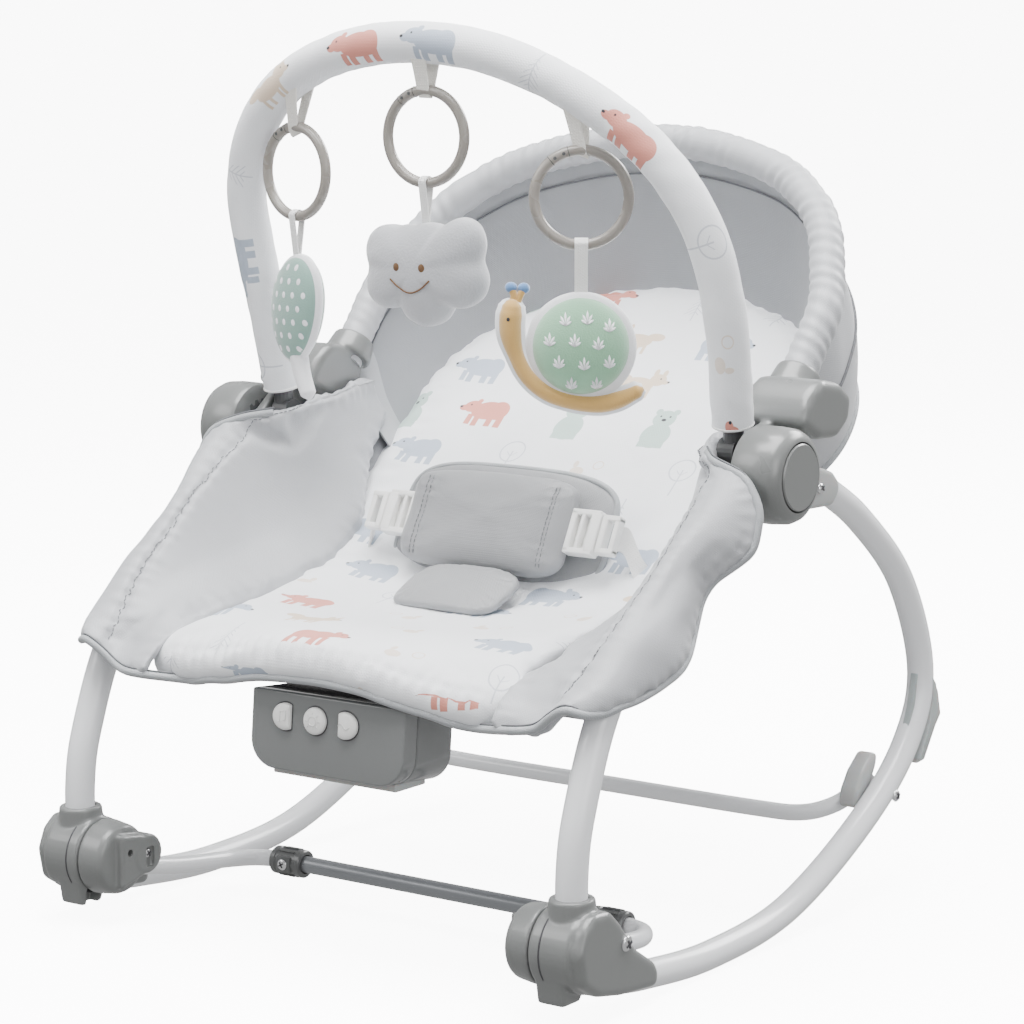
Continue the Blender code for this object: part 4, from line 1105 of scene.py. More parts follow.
def makeEdgePiping(rows, ends):   # one welt from flap to flap along the front
    front = lineOn(evenLine([spot + Vector((0, -0.002, -0.002)) for spot in rows[0][6:-6]], 16),
                   bpy.data.objects["linerPad"], 0.0010)
    line = evenLine(smoothLine(ends["left"] + front + ends["right"][::-1], 8), 620)
    for _ in range(6):
        line = [line[0]] + [(a + b * 2 + c) / 4 for a, b, c in zip(line, line[1:], line[2:])] + [line[-1]]
    tube("edgePiping", line, 0.0027, greyTrim, "base", sides=14)
    above = []
    for spot in line:
        outward = Vector((spot.x * 0.12, 0, 0.0)) if abs(spot.x) > 0.16 else Vector((0, -0.0007, 0))
        above.append(spot + Vector((0, 0, 0.0032)) - outward * 0.03)
    tube("edgeLine", above, 0.0007, threadGrey, "base", sides=8)


def ribbon(name, line, across, width, thickness, material, body, replaced=(), waist=1.0):
    bm = bmesh.new()
    across = Vector(across).normalized()
    rows = []
    count = len(line)
    for k, spot in enumerate(line):
        share = 1.0 - (1.0 - waist) * sin(pi * min(k, count - 1) / (count - 1))
        rows.append([bm.verts.new(spot + across * width * share * (j / 4 - 0.5)) for j in range(5)])
    for low, high in zip(rows, rows[1:]):
        for j in range(4):
            bm.faces.new((low[j], low[j + 1], high[j + 1], high[j]))
    bmesh.ops.recalc_face_normals(bm, faces=bm.faces)
    bmesh.ops.solidify(bm, geom=bm.faces[:], thickness=thickness)
    return addPiece(name, bm, material, body, replaced, 50)


def pillow(outline, thick, put, steps=12, power=0.5):   # a crowned pad sewn along its outline
    bm = bmesh.new()
    tips = []
    shells = []
    for face in (1, -1):
        tip = bm.verts.new(put(0, 0, face * thick / 2))
        rings = []
        for k in range(1, steps):
            share = sin(k / steps * pi / 2)
            w = face * thick / 2 * (1 - share * share) ** power
            rings.append([bm.verts.new(put(u * share, v * share, w)) for u, v in outline])
        tips.append(tip)
        shells.append(rings)
    seam = [bm.verts.new(put(u, v, 0.0)) for u, v in outline]
    count = len(outline)
    for tip, rings in zip(tips, shells):
        for j in range(count):
            bm.faces.new((tip, rings[0][j], rings[0][(j + 1) % count]))
        for low, high in list(zip(rings, rings[1:])) + [(rings[-1], seam)]:
            for j in range(count):
                bm.faces.new((low[j], high[j], high[(j + 1) % count], low[(j + 1) % count]))
    bmesh.ops.recalc_face_normals(bm, faces=bm.faces)
    return bm


def lobes(circles, count=96):   # the outline round overlapping circles, seen from the middle
    out = []
    for turn in turns(count):
        du, dv = cos(turn), sin(turn)
        best = 0.001
        for cu, cv, r in circles:
            along = cu * du + cv * dv
            off = cu * cu + cv * cv - along * along
            if off < r * r:
                best = max(best, along + (r * r - off) ** 0.5)
        out.append((best * du, best * dv))
    return out


def roundedPanel(halfU, halfV, power, count):   # an outline between an oval and a rectangle
    out = []
    for turn in turns(count):
        c, d = cos(turn), sin(turn)
        out.append((halfU * abs(c) ** (2 / power) * (1 if c >= 0 else -1),
                    halfV * abs(d) ** (2 / power) * (1 if d >= 0 else -1)))
    return out


# --- hood: a stretched shell from the rim tube to the back of the pad

hood = {"sleeve": 0.0118,
        "rim": ((0.186, -0.004), (0.186, 0.030), (0.186, 0.064), (0.177, 0.094), (0.160, 0.131),
                (0.135, 0.158), (0.101, 0.179), (0.047, 0.195), (0.0, 0.199)),
        "seat": ((0.148, 0.070), (0.154, 0.105), (0.157, 0.145), (0.155, 0.183), (0.147, 0.212),
                 (0.133, 0.236), (0.103, 0.265), (0.052, 0.282), (0.0, 0.288)),
        "back": ((0.112, 0.095), (0.140, 0.125), (0.160, 0.152), (0.170, 0.183), (0.167, 0.217),
                 (0.153, 0.248), (0.121, 0.286), (0.062, 0.306), (0.0, 0.313)),
        "seatDepth": 0.0125, "backDepth": 0.036, "heart": (0, 0.070, 0.360),
        "cloth": 0.0016, "wrinkles": 62, "columns": 181}


def archLine(half, place, count):
    pairs = [(-x, s) for x, s in half] + list(half[-2::-1])
    return evenLine(smoothLine([place(x, s) for x, s in pairs], 10), count)


def wallRows(top, bottom, count, bulge, folds, phase):
    heart = at(*hood["heart"])
    rows = []
    for k in range(count + 1):
        v = k / count
        swell = sin(pi * min(1.0, v * 1.6))
        row = []
        for j, (a, b) in enumerate(zip(top, bottom)):
            spot = a.lerp(b, v)
            out = (spot - heart).normalized()
            fold = noise.noise(Vector((j * 0.11 + phase, v * 1.3, phase))) * folds * swell
            row.append(spot + out * (bulge * sin(pi * v) + fold))
        rows.append(row)
    return rows


def sheetArea(bm):
    return sum(face.calc_area() for face in bm.faces)


def makeHood():
    rimCurve = archLine(hood["rim"], rimPlace, hood["columns"])
    seat = archLine(hood["seat"], lambda x, s: backPlace(x, s, hood["seatDepth"]), hood["columns"])
    back = archLine(hood["back"], lambda x, s: backPlace(x, s, hood["backDepth"]), hood["columns"])

    def wrinkled(t, turn, spot):
        slant = sin(2 * pi * hood["wrinkles"] * t + 2.0 * turn + 4.0 * noise.noise(spot * 26))
        ripple = 0.55 + 1.1 * noise.noise(spot * 42)
        return hood["sleeve"] + 0.00055 * slant * ripple + 0.0006 * noise.noise(spot * 90)

    sleeve = tube("rimSleeve", evenLine(rimCurve, 420), hood["sleeve"], greySatin, "backrest", sides=36,
                  shape=wrinkled)
    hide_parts("rim_tube")
    inner = sheetGrid(wallRows(rimCurve, seat, 26, 0.007, 0.0030, 3.0))
    bmesh.ops.recalc_face_normals(inner, faces=inner.faces)
    area = sheetArea(inner)
    bmesh.ops.solidify(inner, geom=inner.faces[:], thickness=hood["cloth"])
    piece = addPiece("hoodLining", inner, shadedLiningSatin, "backrest", ("hood_shell",), 60)
    rows = wallRows(rimCurve, back, 22, 0.010, 0.0022, 9.0)
    count = len(back)
    panel = []
    for k in range(1, 42):
        share = k / 41 * (count // 2)
        low = int(share)
        mix = share - low
        high = min(low + 1, count // 2)
        left = back[low].lerp(back[high], mix)
        right = back[-1 - low].lerp(back[-1 - high], mix)
        panel.append([left.lerp(right, j / 40) for j in range(41)])
    outer = sheetGrid(rows)
    bmesh.ops.recalc_face_normals(outer, faces=outer.faces)
    outerArea = sheetArea(outer)
    bmesh.ops.solidify(outer, geom=outer.faces[:], thickness=hood["cloth"])
    piece = addPiece("hoodOuter", outer, greySatin, "backrest", (), 60)
    bottom = [back[0].lerp(back[-1], j / 40) for j in range(41)]
    lean = radians(liner["angle"])
    out = Vector((0, sin(lean), -cos(lean)))
    grid = []
    for number, row in enumerate([bottom] + panel):
        span = sin(pi * min(1.0, (number + 2) / 44))
        grid.append([spot + out * (0.006 * sin(pi * j / 40) * span) for j, spot in enumerate(row)])
    bm = thickened(sheetGrid(grid), 0.004)
    piece = addPiece("backPanel", bm, greySatin, "backrest", (), 60)
    hem = [row.lerp(other, 0.20) for row, other in zip(rimCurve, seat)]
    heart = at(*hood["heart"])
    hem = [spot + (spot - heart).normalized() * 0.0008 for spot in hem][4:-4]
    tube("hoodSeam", evenLine(hem, 200), 0.0008, threadGrey, "backrest", sides=8)
    zipper = []
    for row, other in zip(rows[11][2:-2], rows[12][2:-2]):
        zipper.append(row.lerp(other, 0.5) + (row - heart).normalized() * 0.0007)
    tube("hoodZip", evenLine(zipper, 240), 0.0011, threadGrey, "backrest", sides=8)
    tube("backPiping", evenLine(back, 240), 0.0026, greyTrim, "backrest", sides=12)


def coat(name, material):
    node = nodes[name]
    node.data.materials.clear()
    node.data.materials.append(material)


# --- toy bar

toyBar = {"y": -0.035, "z": 0.335, "lean": 13.5, "radius": 0.0136,
          "arch": ((0.1860, 0.0060), (0.1900, 0.0700), (0.1860, 0.1180), (0.1730, 0.1530),
                   (0.1500, 0.1840), (0.1180, 0.2090), (0.0730, 0.2330), (0.0200, 0.2490),
                   (-0.0400, 0.2525), (-0.0950, 0.2430), (-0.1400, 0.2220), (-0.1710, 0.1910),
                   (-0.1885, 0.1500), (-0.1900, 0.1050), (-0.1870, 0.0540), (-0.1860, 0.0060))}


def toyBarLine(count):
    lean = radians(toyBar["lean"])
    points = [at(x, toyBar["y"] - h * sin(lean), toyBar["z"] + h * cos(lean)) for x, h in toyBar["arch"]]
    return evenLine(smoothLine(points, 12), count)


def makeToyBar():
    line = toyBarLine(300)
    body = "toy_bar_assembly"
    around = 40

    def wrinkled(t, turn, spot):
        slack = 0.00045 * sin(2 * pi * 36 * t + 3 * turn) * noise.noise(spot * 24)
        return toyBar["radius"] + slack + 0.0005 * noise.noise(spot * 48)

    sleeve = tube("toyBarSleeve", line, toyBar["radius"], printedCotton, body, ("toy_bar",), around,
                  shape=wrinkled)
    layer = sleeve.data.uv_layers.new(name="UVMap")
    girth = 2 * pi * toyBar["radius"]
    step = (line[1] - line[0]).length
    for face in sleeve.data.polygons:
        cells = [(i // around, i % around) for i in face.vertices]
        wraps = len(cells) == 4 and max(c[1] for c in cells) - min(c[1] for c in cells) > 2
        for loop, (k, j) in zip(face.loop_indices, cells):
            j = j + around if wraps and j == 0 else j   # the last column runs to the end of the cloth
            layer.data[loop].uv = (k * step + 0.02, j / around * girth + 0.004)
    for word, k in (("right", 1), ("left", -2)):
        ahead = (line[k + 1] - line[k]).normalized()
        across = ahead.orthogonal().normalized()
        spot = line[0] if word == "right" else line[-1]
        ring = [spot + (across * cos(t) + ahead.cross(across) * sin(t)) * (toyBar["radius"] - 0.0009)
                for t in turns(around)]
        tube("toyBarHem_" + word, ring, 0.0011, whiteWebbing, body, closed=True, sides=10)
        coat("toy_bar_foot_" + word, darkPlastic)


# --- rings and hanging toys

def plushMaterial(name, colour, bump=0.6, scale=900.0):
    return hardMaterial(name, colour, 0.92, scale, 0.10, bump, Sheen_Weight=0.8, Sheen_Roughness=0.5)


whiteWebbing = clothMaterial("whiteWebbing", (0.84, 0.84, 0.83), 0.8, 0.3, 0.6, 3200.0, 0.1)
# the cloud's own grey fleece, darkened further to paint the shadow on the cloud
shadedFleece = plushMaterial("shadedFleece", (0.43, 0.44, 0.465), 0.9, 650.0)
whiteFelt = plushMaterial("whiteFelt", (0.80, 0.81, 0.83))
ochreFelt = plushMaterial("ochreFelt", (0.56, 0.34, 0.10))
mintFelt = plushMaterial("mintFelt", (0.25, 0.48, 0.31))
mintLeaf = plushMaterial("mintLeaf", (0.22, 0.36, 0.31))
brownThread = clothMaterial("brownThread", (0.13, 0.065, 0.025), 0.6, 0.1, 0.4, 5000.0, 0.1)
blueFelt = plushMaterial("blueFelt", (0.10, 0.22, 0.45), 0.4)
inkThread = clothMaterial("inkThread", (0.02, 0.02, 0.022), 0.5, 0.1, 0.3, 5000.0, 0.1)
# the hood lining is the grey satin darkened to paint the shade inside the hood
shadedLiningSatin = clothMaterial("shadedLiningSatin", (0.30, 0.31, 0.33), 0.5, 0.3, 0.3, 4200.0, 0.6)
# the belt and crotch pads are the grey satin darkened to paint the shade on these bulky front-facing pads
shadedBeltSatin = clothMaterial("shadedBeltSatin", (0.27, 0.275, 0.285), 0.48, 0.3, 0.35, 4200.0, 0.6)

hanging = {"leaf": {"ring": (-0.130, -0.0657, 0.494), "heading": -10, "drop": 0.024, "half": 0.034,
                    "ribbon": 0.0055},
           "cloud": {"ring": (-0.015, -0.0728, 0.520), "heading": 3, "drop": 0.018, "half": 0.034,
                     "ribbon": 0.0055},
           "snail": {"ring": (0.103, -0.0656, 0.484), "heading": 35, "drop": 0.029, "half": 0.0325,
                     "ribbon": 0.0085}}
ringShape = {"radius": 0.0300, "wire": 0.0035}


def hangPlace(word):
    toy = hanging[word]
    turn = radians(toy["heading"])
    x, y, z = toy["ring"]
    centre = Vector((x, y, z - ringShape["radius"] - ringShape["wire"] - toy["drop"] - toy["half"]))
    along = Vector((cos(turn), sin(turn), 0))
    face = Vector((sin(turn), -cos(turn), 0))
    return lambda u, v, w: centre + along * u + Vector((0, 0, v)) + face * w


def makeRings():
    line = toyBarLine(600)
    for word, toy in hanging.items():
        x, y, z = toy["ring"]
        centre = Vector((x, y, z))
        turn = radians(toy["heading"])
        along = Vector((cos(turn), sin(turn), 0))
        face = Vector((sin(turn), -cos(turn), 0))
        up = Vector((0, 0, 1))
        big, wire = ringShape["radius"], ringShape["wire"]
        path = [centre + (along * cos(t) + up * sin(t)) * big for t in turns(96)]
        piece = tube("toyRing_" + word, path, wire, ringPlastic, "toy_ring_" + word,
                     ("toy_ring_" + word,), 24, True)
        for number, angle in enumerate((112, 124)):
            t = radians(angle)
            spot = centre + (along * cos(t) + up * sin(t)) * big + face * (wire - 0.0004)
            pin = turned([(0.0, 0.0008), (0.0009, 0.0008), (0.0012, 0.0004), (0.0012, -0.0006),
                          (0.0, -0.0006)], spot, face, 20)
            addPiece(f"ringPin_{word}_{number}", pin, darkPlastic, "toy_ring_" + word)
        # thin dark rings at the joints paint the shade in their seams
        for number, angle in enumerate((106, 130)):
            t = radians(angle)
            cut = [centre + (along * cos(t) + up * sin(t)) * big
                   + ((along * cos(t) + up * sin(t)) * cos(q) + face * sin(q)) * (wire + 0.00002)
                   for q in turns(24)]
            tube(f"ringJointShade_{word}_{number}", cut, 0.00022, gapShade, "toy_ring_" + word, closed=True,
                 sides=6)
        spots = [p for p in line if p.z > z + big - 0.01 and abs(p.x - x) < 0.02]
        bar = min(spots, key=lambda p: abs(p.x - x))
        k = line.index(bar)
        ahead = (line[k + 1] - line[k - 1]).normalized()
        sideways = ahead.cross(up).normalized()
        rise = sideways.cross(ahead).normalized()
        if rise.z < 0:
            rise = -rise
        reach = toyBar["radius"] - 0.0012
        low = centre + up * (big - wire - 0.0010)
        over = [bar + (sideways * cos(radians(turn)) + rise * sin(radians(turn))) * reach
                for turn in (-52, 232)]
        right = low + sideways * 0.0022 + up * 0.004
        left = low - sideways * 0.0022 + up * 0.004
        path = evenLine([over[0], right, low, left, over[1]], 60)
        flat = ahead.lerp(along * (1 if ahead.dot(along) > 0 else -1), 0.3)
        piece = ribbon("ringLoop_" + word, path, flat, 0.0115, 0.0011, creamWebbing, "toy_bar_assembly",
                       ("ring_loop_" + word,), 0.8)
        put = hangPlace(word)
        top = put(0, toy["half"] - 0.004, 0)
        under = centre - up * (big + wire + 0.0006)
        hook = centre - up * (big - wire - 0.0010)
        path = [top + face * 0.0006, under + face * 0.0048 + up * 0.002,
                under + face * 0.0050 + up * 0.0060, hook + face * 0.0010, hook - face * 0.0010,
                under - face * 0.0050 + up * 0.0060, under - face * 0.0048 + up * 0.002,
                top - face * 0.0006]
        ribbon("toyRibbon_" + word, evenLine(smoothLine(path, 8), 60), along, toy["ribbon"], 0.0009,
               whiteWebbing, "toy_" + word)


def drape(line, piece, put, lift):   # puts (u, v) points on the front of a toy
    skin = skinTree(piece)
    out = []
    for u, v in line:
        start = put(u, v, 0.08)
        ray = (put(u, v, 0.0) - start).normalized()
        place = skin.ray_cast(start, ray)[0]
        out.append((place if place else put(u, v, 0.0)) - ray * lift)
    return out


def spotPad(name, u, v, ru, rv, piece, put, material, body, rise=0.0008):
    ring = drape([(u + ru * cos(t), v + rv * sin(t)) for t in turns(20)], piece, put, 0.0001)
    crown = drape([(u, v)], piece, put, rise)[0]
    middle = [a.lerp(crown, 0.45) + (crown - sum(ring, Vector()) / 20) * 0.3 for a in ring]
    bm = bmesh.new()
    tip = bm.verts.new(crown)
    foot = [bm.verts.new(p) for p in ring]
    mid = [bm.verts.new(p) for p in middle]
    for j in range(20):
        bm.faces.new((tip, mid[j], mid[(j + 1) % 20]))
        bm.faces.new((mid[j], foot[j], foot[(j + 1) % 20], mid[(j + 1) % 20]))
    bmesh.ops.recalc_face_normals(bm, faces=bm.faces)
    return addPiece(name, bm, material, body, (), 60)


def makeToys():
    put = hangPlace("cloud")
    circles = ((-0.027, 0.010, 0.0160), (0.028, 0.0165, 0.0150), (0.027, -0.006, 0.0170),
               (0.002, -0.0165, 0.0185), (-0.026, -0.009, 0.0165), (0.004, 0.004, 0.0235),
               (-0.012, 0.008, 0.0180))
    outline = lobes(circles, 160)
    for _ in range(5):
        threes = zip(outline[-1:] + outline[:-1], outline, outline[1:] + outline[:1])
        outline = [((a[0] + b[0] * 2 + c[0]) / 4, (a[1] + b[1] * 2 + c[1]) / 4) for a, b, c in threes]
    outline = [(u * 1.07, v * 1.10) for u, v in outline]
    cloud = addPiece("toyCloud", pillow(outline, 0.038, put, 16, 0.42), shadedFleece, "toy_cloud",
                     ("toy_cloud",), 0)
    soften = cloud.modifiers.new("soften", 'SMOOTH')
    soften.iterations = 3
    applyAll(cloud)
    crease(cloud, 0.0012, (45, 45, 45))
    for number, u in enumerate((-0.0115, 0.0085)):
        spotPad(f"cloudEye_{number}", u, 0.0015, 0.0024, 0.0027, cloud, put, brownThread, "toy_cloud")
    smile = [(-0.0165 + 0.031 * n / 24, -0.0065 - 0.0085 * sin(pi * n / 24)) for n in range(25)]
    tube("cloudSmile", drape(smile, cloud, put, 0.0003), 0.0006, brownThread, "toy_cloud", sides=8)
    put = hangPlace("snail")
    white = lobes([(0, 0, 0.0355)], 120)
    edge = addPiece("snailEdge", pillow(white, 0.016, put, 10, 0.35), whiteFelt, "toy_snail",
                    ("toy_snail",), 0)
    shell = addPiece("snailShell", pillow([(u * 0.885, v * 0.885) for u, v in white], 0.036,
                                          lambda u, v, w: put(u, v + 0.001, w + 0.001), 14, 0.5),
                     mintFelt, "toy_snail", (), 0)
    path = [(-0.0435, 0.0310), (-0.0450, 0.0120), (-0.0415, -0.0040), (-0.0340, -0.0185),
            (-0.0215, -0.0290), (-0.0050, -0.0345), (0.0120, -0.0360), (0.0260, -0.0325),
            (0.0400, -0.0260)]

    def band(offset, radii, material, name, flat, shift):
        line = evenLine(smoothLine([put(u, v, shift) for u, v in path], 8), 90)
        bm = tubeMesh(line, 1.0, 20, False, lambda t, turn, spot: between(radii, t) + offset)
        centre = put(0, 0, shift)
        face = put(0, 0, 1) - put(0, 0, 0)
        for vert in bm.verts:
            away = (vert.co - centre).dot(face)
            vert.co -= face * away * (1 - flat)
        piece = addPiece(name, bm, material, "toy_snail", (), 0)
        return piece

    radii = ((0.0, 0.0012), (0.012, 0.0042), (0.035, 0.0066), (0.08, 0.0078), (0.14, 0.0076), (0.3, 0.0052),
             (0.6, 0.0054), (0.85, 0.0060), (0.97, 0.0045), (1.0, 0.0012))
    back = band(0.0022, radii, whiteFelt, "snailBodyEdge", 0.85, -0.001)
    front = band(0.0, radii, ochreFelt, "snailBody", 0.95, 0.0022)
    for number, (u, v) in enumerate(((-0.0445, 0.0380), (-0.0365, 0.0375))):
        stalk = [put(-0.0440 + number * 0.003, 0.0270, 0.001), put((u - 0.041) / 2, 0.0330, 0.001),
                 put(u, v, 0.001)]
        tube(f"snailStalk_{number}", evenLine(smoothLine(stalk, 6), 16), 0.0024, ochreFelt, "toy_snail",
             sides=12)
        tip = pillow(roundedPanel(0.0040, 0.0036, 2.0, 32), 0.0075,
                     lambda a, b, w, u=u, v=v: put(u + a, v + b, w), 8)
        addPiece(f"snailEye_{number}", tip, blueFelt, "toy_snail", (), 0)
    spotPad("snailPupil", -0.0462, 0.0185, 0.0011, 0.0013, front, put, inkThread, "toy_snail", 0.0006)
    blade = ((0, 0.0), (0.35, 0.00055), (0.7, 0.00085), (1.0, 0.0), (0.7, -0.00085), (0.35, -0.00055))
    sprigs = ((-0.010, 0.019), (0.004, 0.020), (0.018, 0.015), (-0.020, 0.006), (-0.004, 0.006),
              (0.011, 0.004), (-0.014, -0.008), (0.002, -0.009), (0.018, -0.008), (-0.006, -0.022),
              (0.010, -0.022))
    blades = []
    for cu, cv in sprigs:
        for lean, tall in ((-52, 0.0050), (-26, 0.0070), (0, 0.0088), (26, 0.0070), (52, 0.0050)):
            turn = radians(lean)
            outline = []
            for share, across in blade:
                along = tall * share
                outline.append((cu + along * sin(turn) + across * cos(turn),
                                cv - 0.004 + along * cos(turn) - across * sin(turn)))
            blades.append(drape(outline, shell, put, 0.00035))
    bm = bmesh.new()
    for outline in blades:
        bm.faces.new([bm.verts.new(p) for p in outline])
    bmesh.ops.recalc_face_normals(bm, faces=bm.faces)
    bmesh.ops.solidify(bm, geom=bm.faces[:], thickness=0.0003)
    addPiece("snailSprigs", bm, whiteFelt, "toy_snail", (), 0)
    put = hangPlace("leaf")
    outline = []
    for t in turns(72):
        lean = 0.0035 * sin(t)
        outline.append((0.0235 * cos(t) * (1.0 + 0.10 * sin(t)) + lean, 0.0375 * sin(t) - 0.001))
    edge = addPiece("leafEdge", pillow(outline, 0.015, put, 10, 0.38), whiteFelt, "toy_leaf",
                    ("toy_leaf",), 0)
    face = addPiece("leafFace", pillow([(u * 0.945, v * 0.95) for u, v in outline], 0.0256, put, 12,
                                       0.40), mintLeaf, "toy_leaf", (), 0)
    number = 0
    for row in range(7):
        for column in range(5):
            u = (column - 2) * 0.0082 + (0.0041 if row % 2 else 0.0)
            v = (row - 3) * 0.0092
            if (u / 0.0195) ** 2 + (v / 0.0325) ** 2 < 0.96:
                spotPad(f"leafDot_{number}", u, v, 0.0015, 0.0022, face, put, whiteFelt, "toy_leaf", 0.0004)
                number += 1
    stem = [put(0.000, -0.030, 0), put(0.004, -0.045, 0), put(0.012, -0.062, 0)]
    bm = tubeMesh(evenLine(smoothLine(stem, 8), 30), 1.0, 20, False, lambda t, turn,
                  spot: 0.0066 - 0.0014 * t - 0.004 * max(0.0, t - 0.88) / 0.12)
    stem = addPiece("leafStem", bm, whiteFelt, "toy_leaf", (), 60)


# --- belt

belt = {"low": (-0.055, 0.234), "high": (-0.026, 0.290), "middle": -0.006}


def beltPlace(u, v, w):   # u across, v up the panel from its middle, w out of its face
    rise = Vector((0, belt["high"][0] - belt["low"][0], belt["high"][1] - belt["low"][1])).normalized()
    face = Vector((0, -rise.z, rise.y))
    middle = at(0, (belt["low"][0] + belt["high"][0]) / 2, (belt["low"][1] + belt["high"][1]) / 2)
    return middle + Vector((u + belt["middle"], 0, 0)) + rise * v + face * (w - 0.004)


def makeBelt():
    pad = addPiece("beltPad", pillow(roundedPanel(0.0670, 0.0345, 6.0, 140), 0.027, beltPlace, 16, 0.40),
                   shadedBeltSatin, None, (), 0)
    crease(pad, 0.0013, (30, 60, 60), 5.0)
    for u in (-0.051, 0.051):
        line = [beltPlace(u, -0.031 + 0.062 * n / 60, 0.009) for n in range(61)]
        groove(pad, line, 0.0020, 0.0028, 0.0004, 0.0075, 0.012)
        for shift in (0.0, 0.003):
            sewn = drape([(u + shift * (1 if u > 0 else -1), -0.029 + 0.058 * n / 80) for n in range(81)],
                         pad, beltPlace, 0.0001)
            stitches(f"beltStitch_{'left' if u < 0 else 'right'}_{int(shift * 1000)}", sewn, "base")
    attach(pad, "base")
    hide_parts("belt_pad")

    def flapPlace(u, v, w):   # the flap bends back behind the pad towards its ends
        return beltPlace(u, v + 0.003 - 0.05 * (u * u), w - 0.0105 - 1.1 * u * u)

    flap = addPiece("beltFlap", pillow(roundedPanel(0.086, 0.040, 4.5, 140), 0.010, flapPlace, 14, 0.3),
                    shadedBeltSatin, None, (), 0)
    crease(flap, 0.0016, (30, 40, 40), 1.0)
    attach(flap, "base")
    welt = [flapPlace(u, v, 0.0) for u, v in roundedPanel(0.0865, 0.0405, 4.5, 140)]
    tube("beltPiping", welt, 0.0022, greyTrim, "base", closed=True, sides=12)
    for word, side in sides:
        def put(u, v, w, side=side):
            return beltPlace(side * u + (0.006 if side > 0 else -0.003), v, w - 0.001)

        def bar(u0, u1, v0, v1, thick, deep=0.0):
            bm = bmesh.new()
            bmesh.ops.create_cube(bm, size=1.0)
            bmesh.ops.scale(bm, vec=(u1 - u0, v1 - v0, thick), verts=bm.verts)
            rounded(bm, bm.edges[:], 0.0009, 3)
            for vert in bm.verts:
                vert.co = put((u0 + u1) / 2 + vert.co.x, (v0 + v1) / 2 + vert.co.y, deep + vert.co.z)
            bmesh.ops.recalc_face_normals(bm, faces=bm.faces)
            return bm

        socket = merged(bar(0.0600, 0.0645, -0.0145, 0.0145, 0.0090),
                        bar(0.0680, 0.0712, -0.0145, 0.0145, 0.0085), bar(0.0760, 0.0840, -0.0135, 0.0135,
                                                                          0.0095), bar(0.0600, 0.0830,
                                                                                       0.0115, 0.0155,
                                                                                       0.0090),
                        bar(0.0600, 0.0830, -0.0155, -0.0115, 0.0090),
                        bar(0.0610, 0.0820, -0.0125, 0.0125, 0.0030, -0.002))
        piece = addPiece("buckleSocket_" + word, socket, whitePlastic, "base", ("buckle_socket_" + word,),
                         35)
        tongue = merged(bar(0.0848, 0.0895, -0.0125, 0.0125, 0.0080),
                        bar(0.0945, 0.0985, -0.0125, 0.0125, 0.0070), bar(0.0848, 0.0985, 0.0095, 0.0135,
                                                                          0.0075), bar(0.0848, 0.0985,
                                                                                       -0.0135, -0.0095,
                                                                                       0.0075))
        piece = addPiece("buckleTongue_" + word, tongue, whitePlastic, "buckle_tongue_" + word,
                         ("buckle_tongue_" + word,), 35)
        strap = [put(0.0965, 0, -0.0030), put(0.1010, -0.001, -0.0080), at(side * 0.1120, -0.032, 0.238),
                 at(side * 0.1190, -0.024, 0.226)]
        ribbon("waistStrap_" + word, evenLine(smoothLine(strap, 8), 30),
               beltPlace(0, 1, 0) - beltPlace(0, 0, 0), 0.0170, 0.0012, whiteWebbing, "base")
    lean = radians(22)

    def strapPlace(u, v, w):
        middle = at(0, -0.0830, 0.2225)
        return middle + Vector((u, v * cos(lean) - w * sin(lean),
                                v * sin(lean) + w * cos(lean) + 10 * -u * u * 0.15))

    crotch = addPiece("crotchPad", pillow(roundedPanel(0.042, 0.0260, 4.0, 120), 0.013, strapPlace, 12,
                                          0.36), shadedBeltSatin, None, (), 0)
    crease(crotch, 0.0011, (40, 60, 60), 8.0)
    hem = [strapPlace(u * 0.90, v * 0.84, 0.005) for u, v in roundedPanel(0.042, 0.0260, 4.0, 120)]
    groove(crotch, hem, 0.0010, 0.0018, 0.0003, 0.007, 0.006)
    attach(crotch, "base")
    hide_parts("crotch_strap")


# --- control unit under the front edge

control = {"y": -0.206, "z": 0.1455, "left": -0.0530, "right": 0.0705, "deep": 0.050, "high": 0.052,
           "tilt": 5, "corner": 0.020, "buttonRise": 0.0105, "buttonGap": 0.0242, "button": 0.0088}


def controlPlace(u, v, w):   # u across, v up, w out of the face
    tilt = radians(control["tilt"])
    return at(u, control["y"] + v * sin(tilt) - (w + control["deep"] / 2) * cos(tilt),
              control["z"] + v * cos(tilt) + (w + control["deep"] / 2) * sin(tilt))


def caseOutline(grow):
    first, last = control["left"] - grow, control["right"] + grow
    low, high, r = -control["high"] / 2 - grow, control["high"] / 2, control["corner"]
    arc = [-pi / 2 * n / 10 for n in range(1, 11)]
    out = [(last, high), (last, low + r)]
    out += [(last - r + r * cos(t), low + r + r * sin(t) * 0.92) for t in arc]
    out += [(first + r - r * cos(t), low + r + r * sin(t) * 0.92) for t in reversed(arc)]
    out += [(first, low + r), (first, high)]
    return out


def caseShell(grow, near, far, bevel):
    push = controlPlace(0, 0, far) - controlPlace(0, 0, near)
    bm = slab([controlPlace(u, v, near) for u, v in caseOutline(grow)], push)
    if bevel:
        rounded(bm, bm.edges[:], bevel, 5)
    return bm


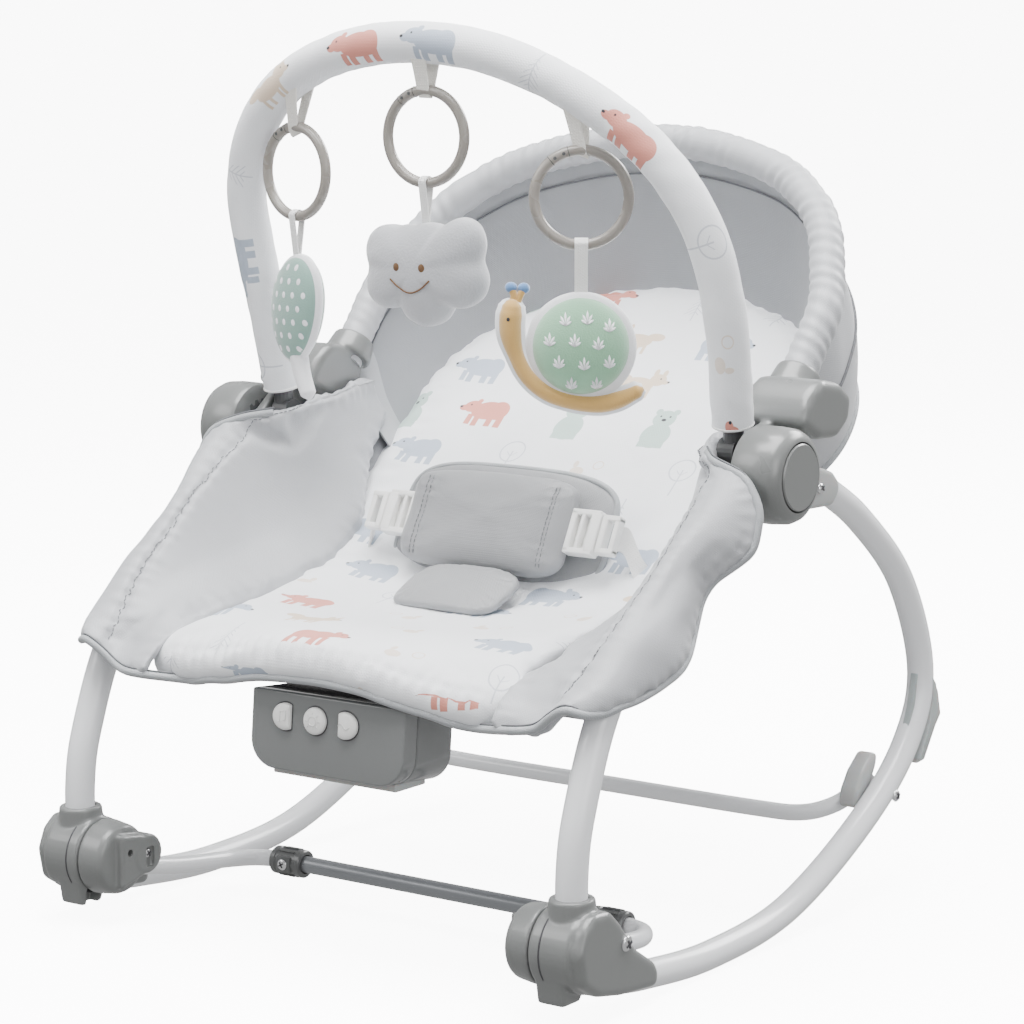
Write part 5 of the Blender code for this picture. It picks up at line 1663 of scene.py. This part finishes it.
def makeControl():
    front = caseShell(0.0, 0.0, -0.0135, 0.0042)
    rear = caseShell(0.0, -0.0137, -0.050, 0.0030)
    # a dark core behind the gap between the two shells paints the shade inside the parting line
    core = caseShell(-0.0016, -0.0075, -0.046, 0.0)
    piece = addPiece("controlCase", merged(front, rear), glossPlastic, "base", ("control_case",), 35)
    addPiece("controlShadeCore", core, gapShade, "base")
    low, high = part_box("battery_door")
    first = control["left"] + 0.012
    door = box((high.x - first, high.y - low.y, high.z - low.z),
               ((first + high.x) / 2, (low.y + high.y) / 2, (low.z + high.z) / 2), (0, 0, 0), 0.0012)
    piece = addPiece("doorPlate", door, palePlastic, "base", ("battery_door",))
    coat("battery_cell", steel)
    coat("vibration_motor", silverPaint)

    def button(name, outline, u, icon):
        def put(a, b, w):
            return controlPlace(u + a, control["buttonRise"] + b, w + 0.0006)
        cap = addPiece("cap_" + name, pillow(outline, 0.0070, put, 12, 0.30), whitePlastic,
                       "button_" + name, ("button_" + name,), 0)
        for number, path in enumerate(icon):
            line = drape(path, cap, put, 0.00005)
            tube(f"relief_{name}_{number}", line, 0.00042, iconPlastic, "button_" + name, sides=8)
        # a dark ring round the button paints the shade in the gap about it
        gap = [put(a * 1.05, b * 1.05, -0.0007) for a, b in outline]
        tube("gap_" + name, gap, 0.0005, gapShade, "base", closed=True, sides=8)

    disc = [(control["button"] * cos(t), control["button"] * sin(t)) for t in turns(64)]
    right = [(max(-0.0046, u) * (1.12 if u > 0 else 1), v) for u, v in disc]
    left = [(-u, v) for u, v in reversed(right)]
    note = [[(-0.0032, -0.0030), (-0.0020, -0.0030), (-0.0020, 0.0034), (0.0022, 0.0040),
             (0.0022, -0.0020), (0.0010, -0.0020)]]
    rays = [[(0.0030 * cos(t), 0.0030 * sin(t)) for t in [2 * pi * n / 24 for n in range(25)]]]
    for t in turns(8):
        rays.append([(0.0042 * cos(t), 0.0042 * sin(t)), (0.0056 * cos(t), 0.0056 * sin(t))])
    wave = [[(-0.0036 + 0.0088 * n / 20, 0.0016 * sin(2 * pi * n / 20) - 0.0002) for n in range(21)]]
    button("music", left, -control["buttonGap"], note)
    button("power", disc, 0.0, rays)
    button("vibration", right, control["buttonGap"], wave)


glossPlastic = hardMaterial("glossPlastic", (0.165, 0.172, 0.172), 0.16, 1200.0, 0.04, 0.04,
                            Coat_Weight=0.5, Coat_Roughness=0.08)
iconPlastic = hardMaterial("iconPlastic", (0.70, 0.70, 0.69), 0.4, 900.0, 0.03, 0.05)


def makeLeftovers():
    for word in ("left", "right"):
        coat("recline_ratchet_" + word, darkPlastic)


def start():
    setCamera()
    setStudio()
    print("camera and studio set")
    makeTubes()
    makeFrontStand()
    makeFrontHousings()
    makeRearFittings()
    makeHubs()
    makeShoulders()
    print("frame, housings and hubs made")
    rows = makeLiner()
    ends = makeBolsters()
    makeEdgePiping(rows, ends)
    print("liner and bolsters made")
    makeHood()
    makeToyBar()
    makeRings()
    makeToys()
    print("hood, toy bar and toys made")
    makeBelt()
    makeControl()
    makeLeftovers()
    print("belt and control unit made")


start()
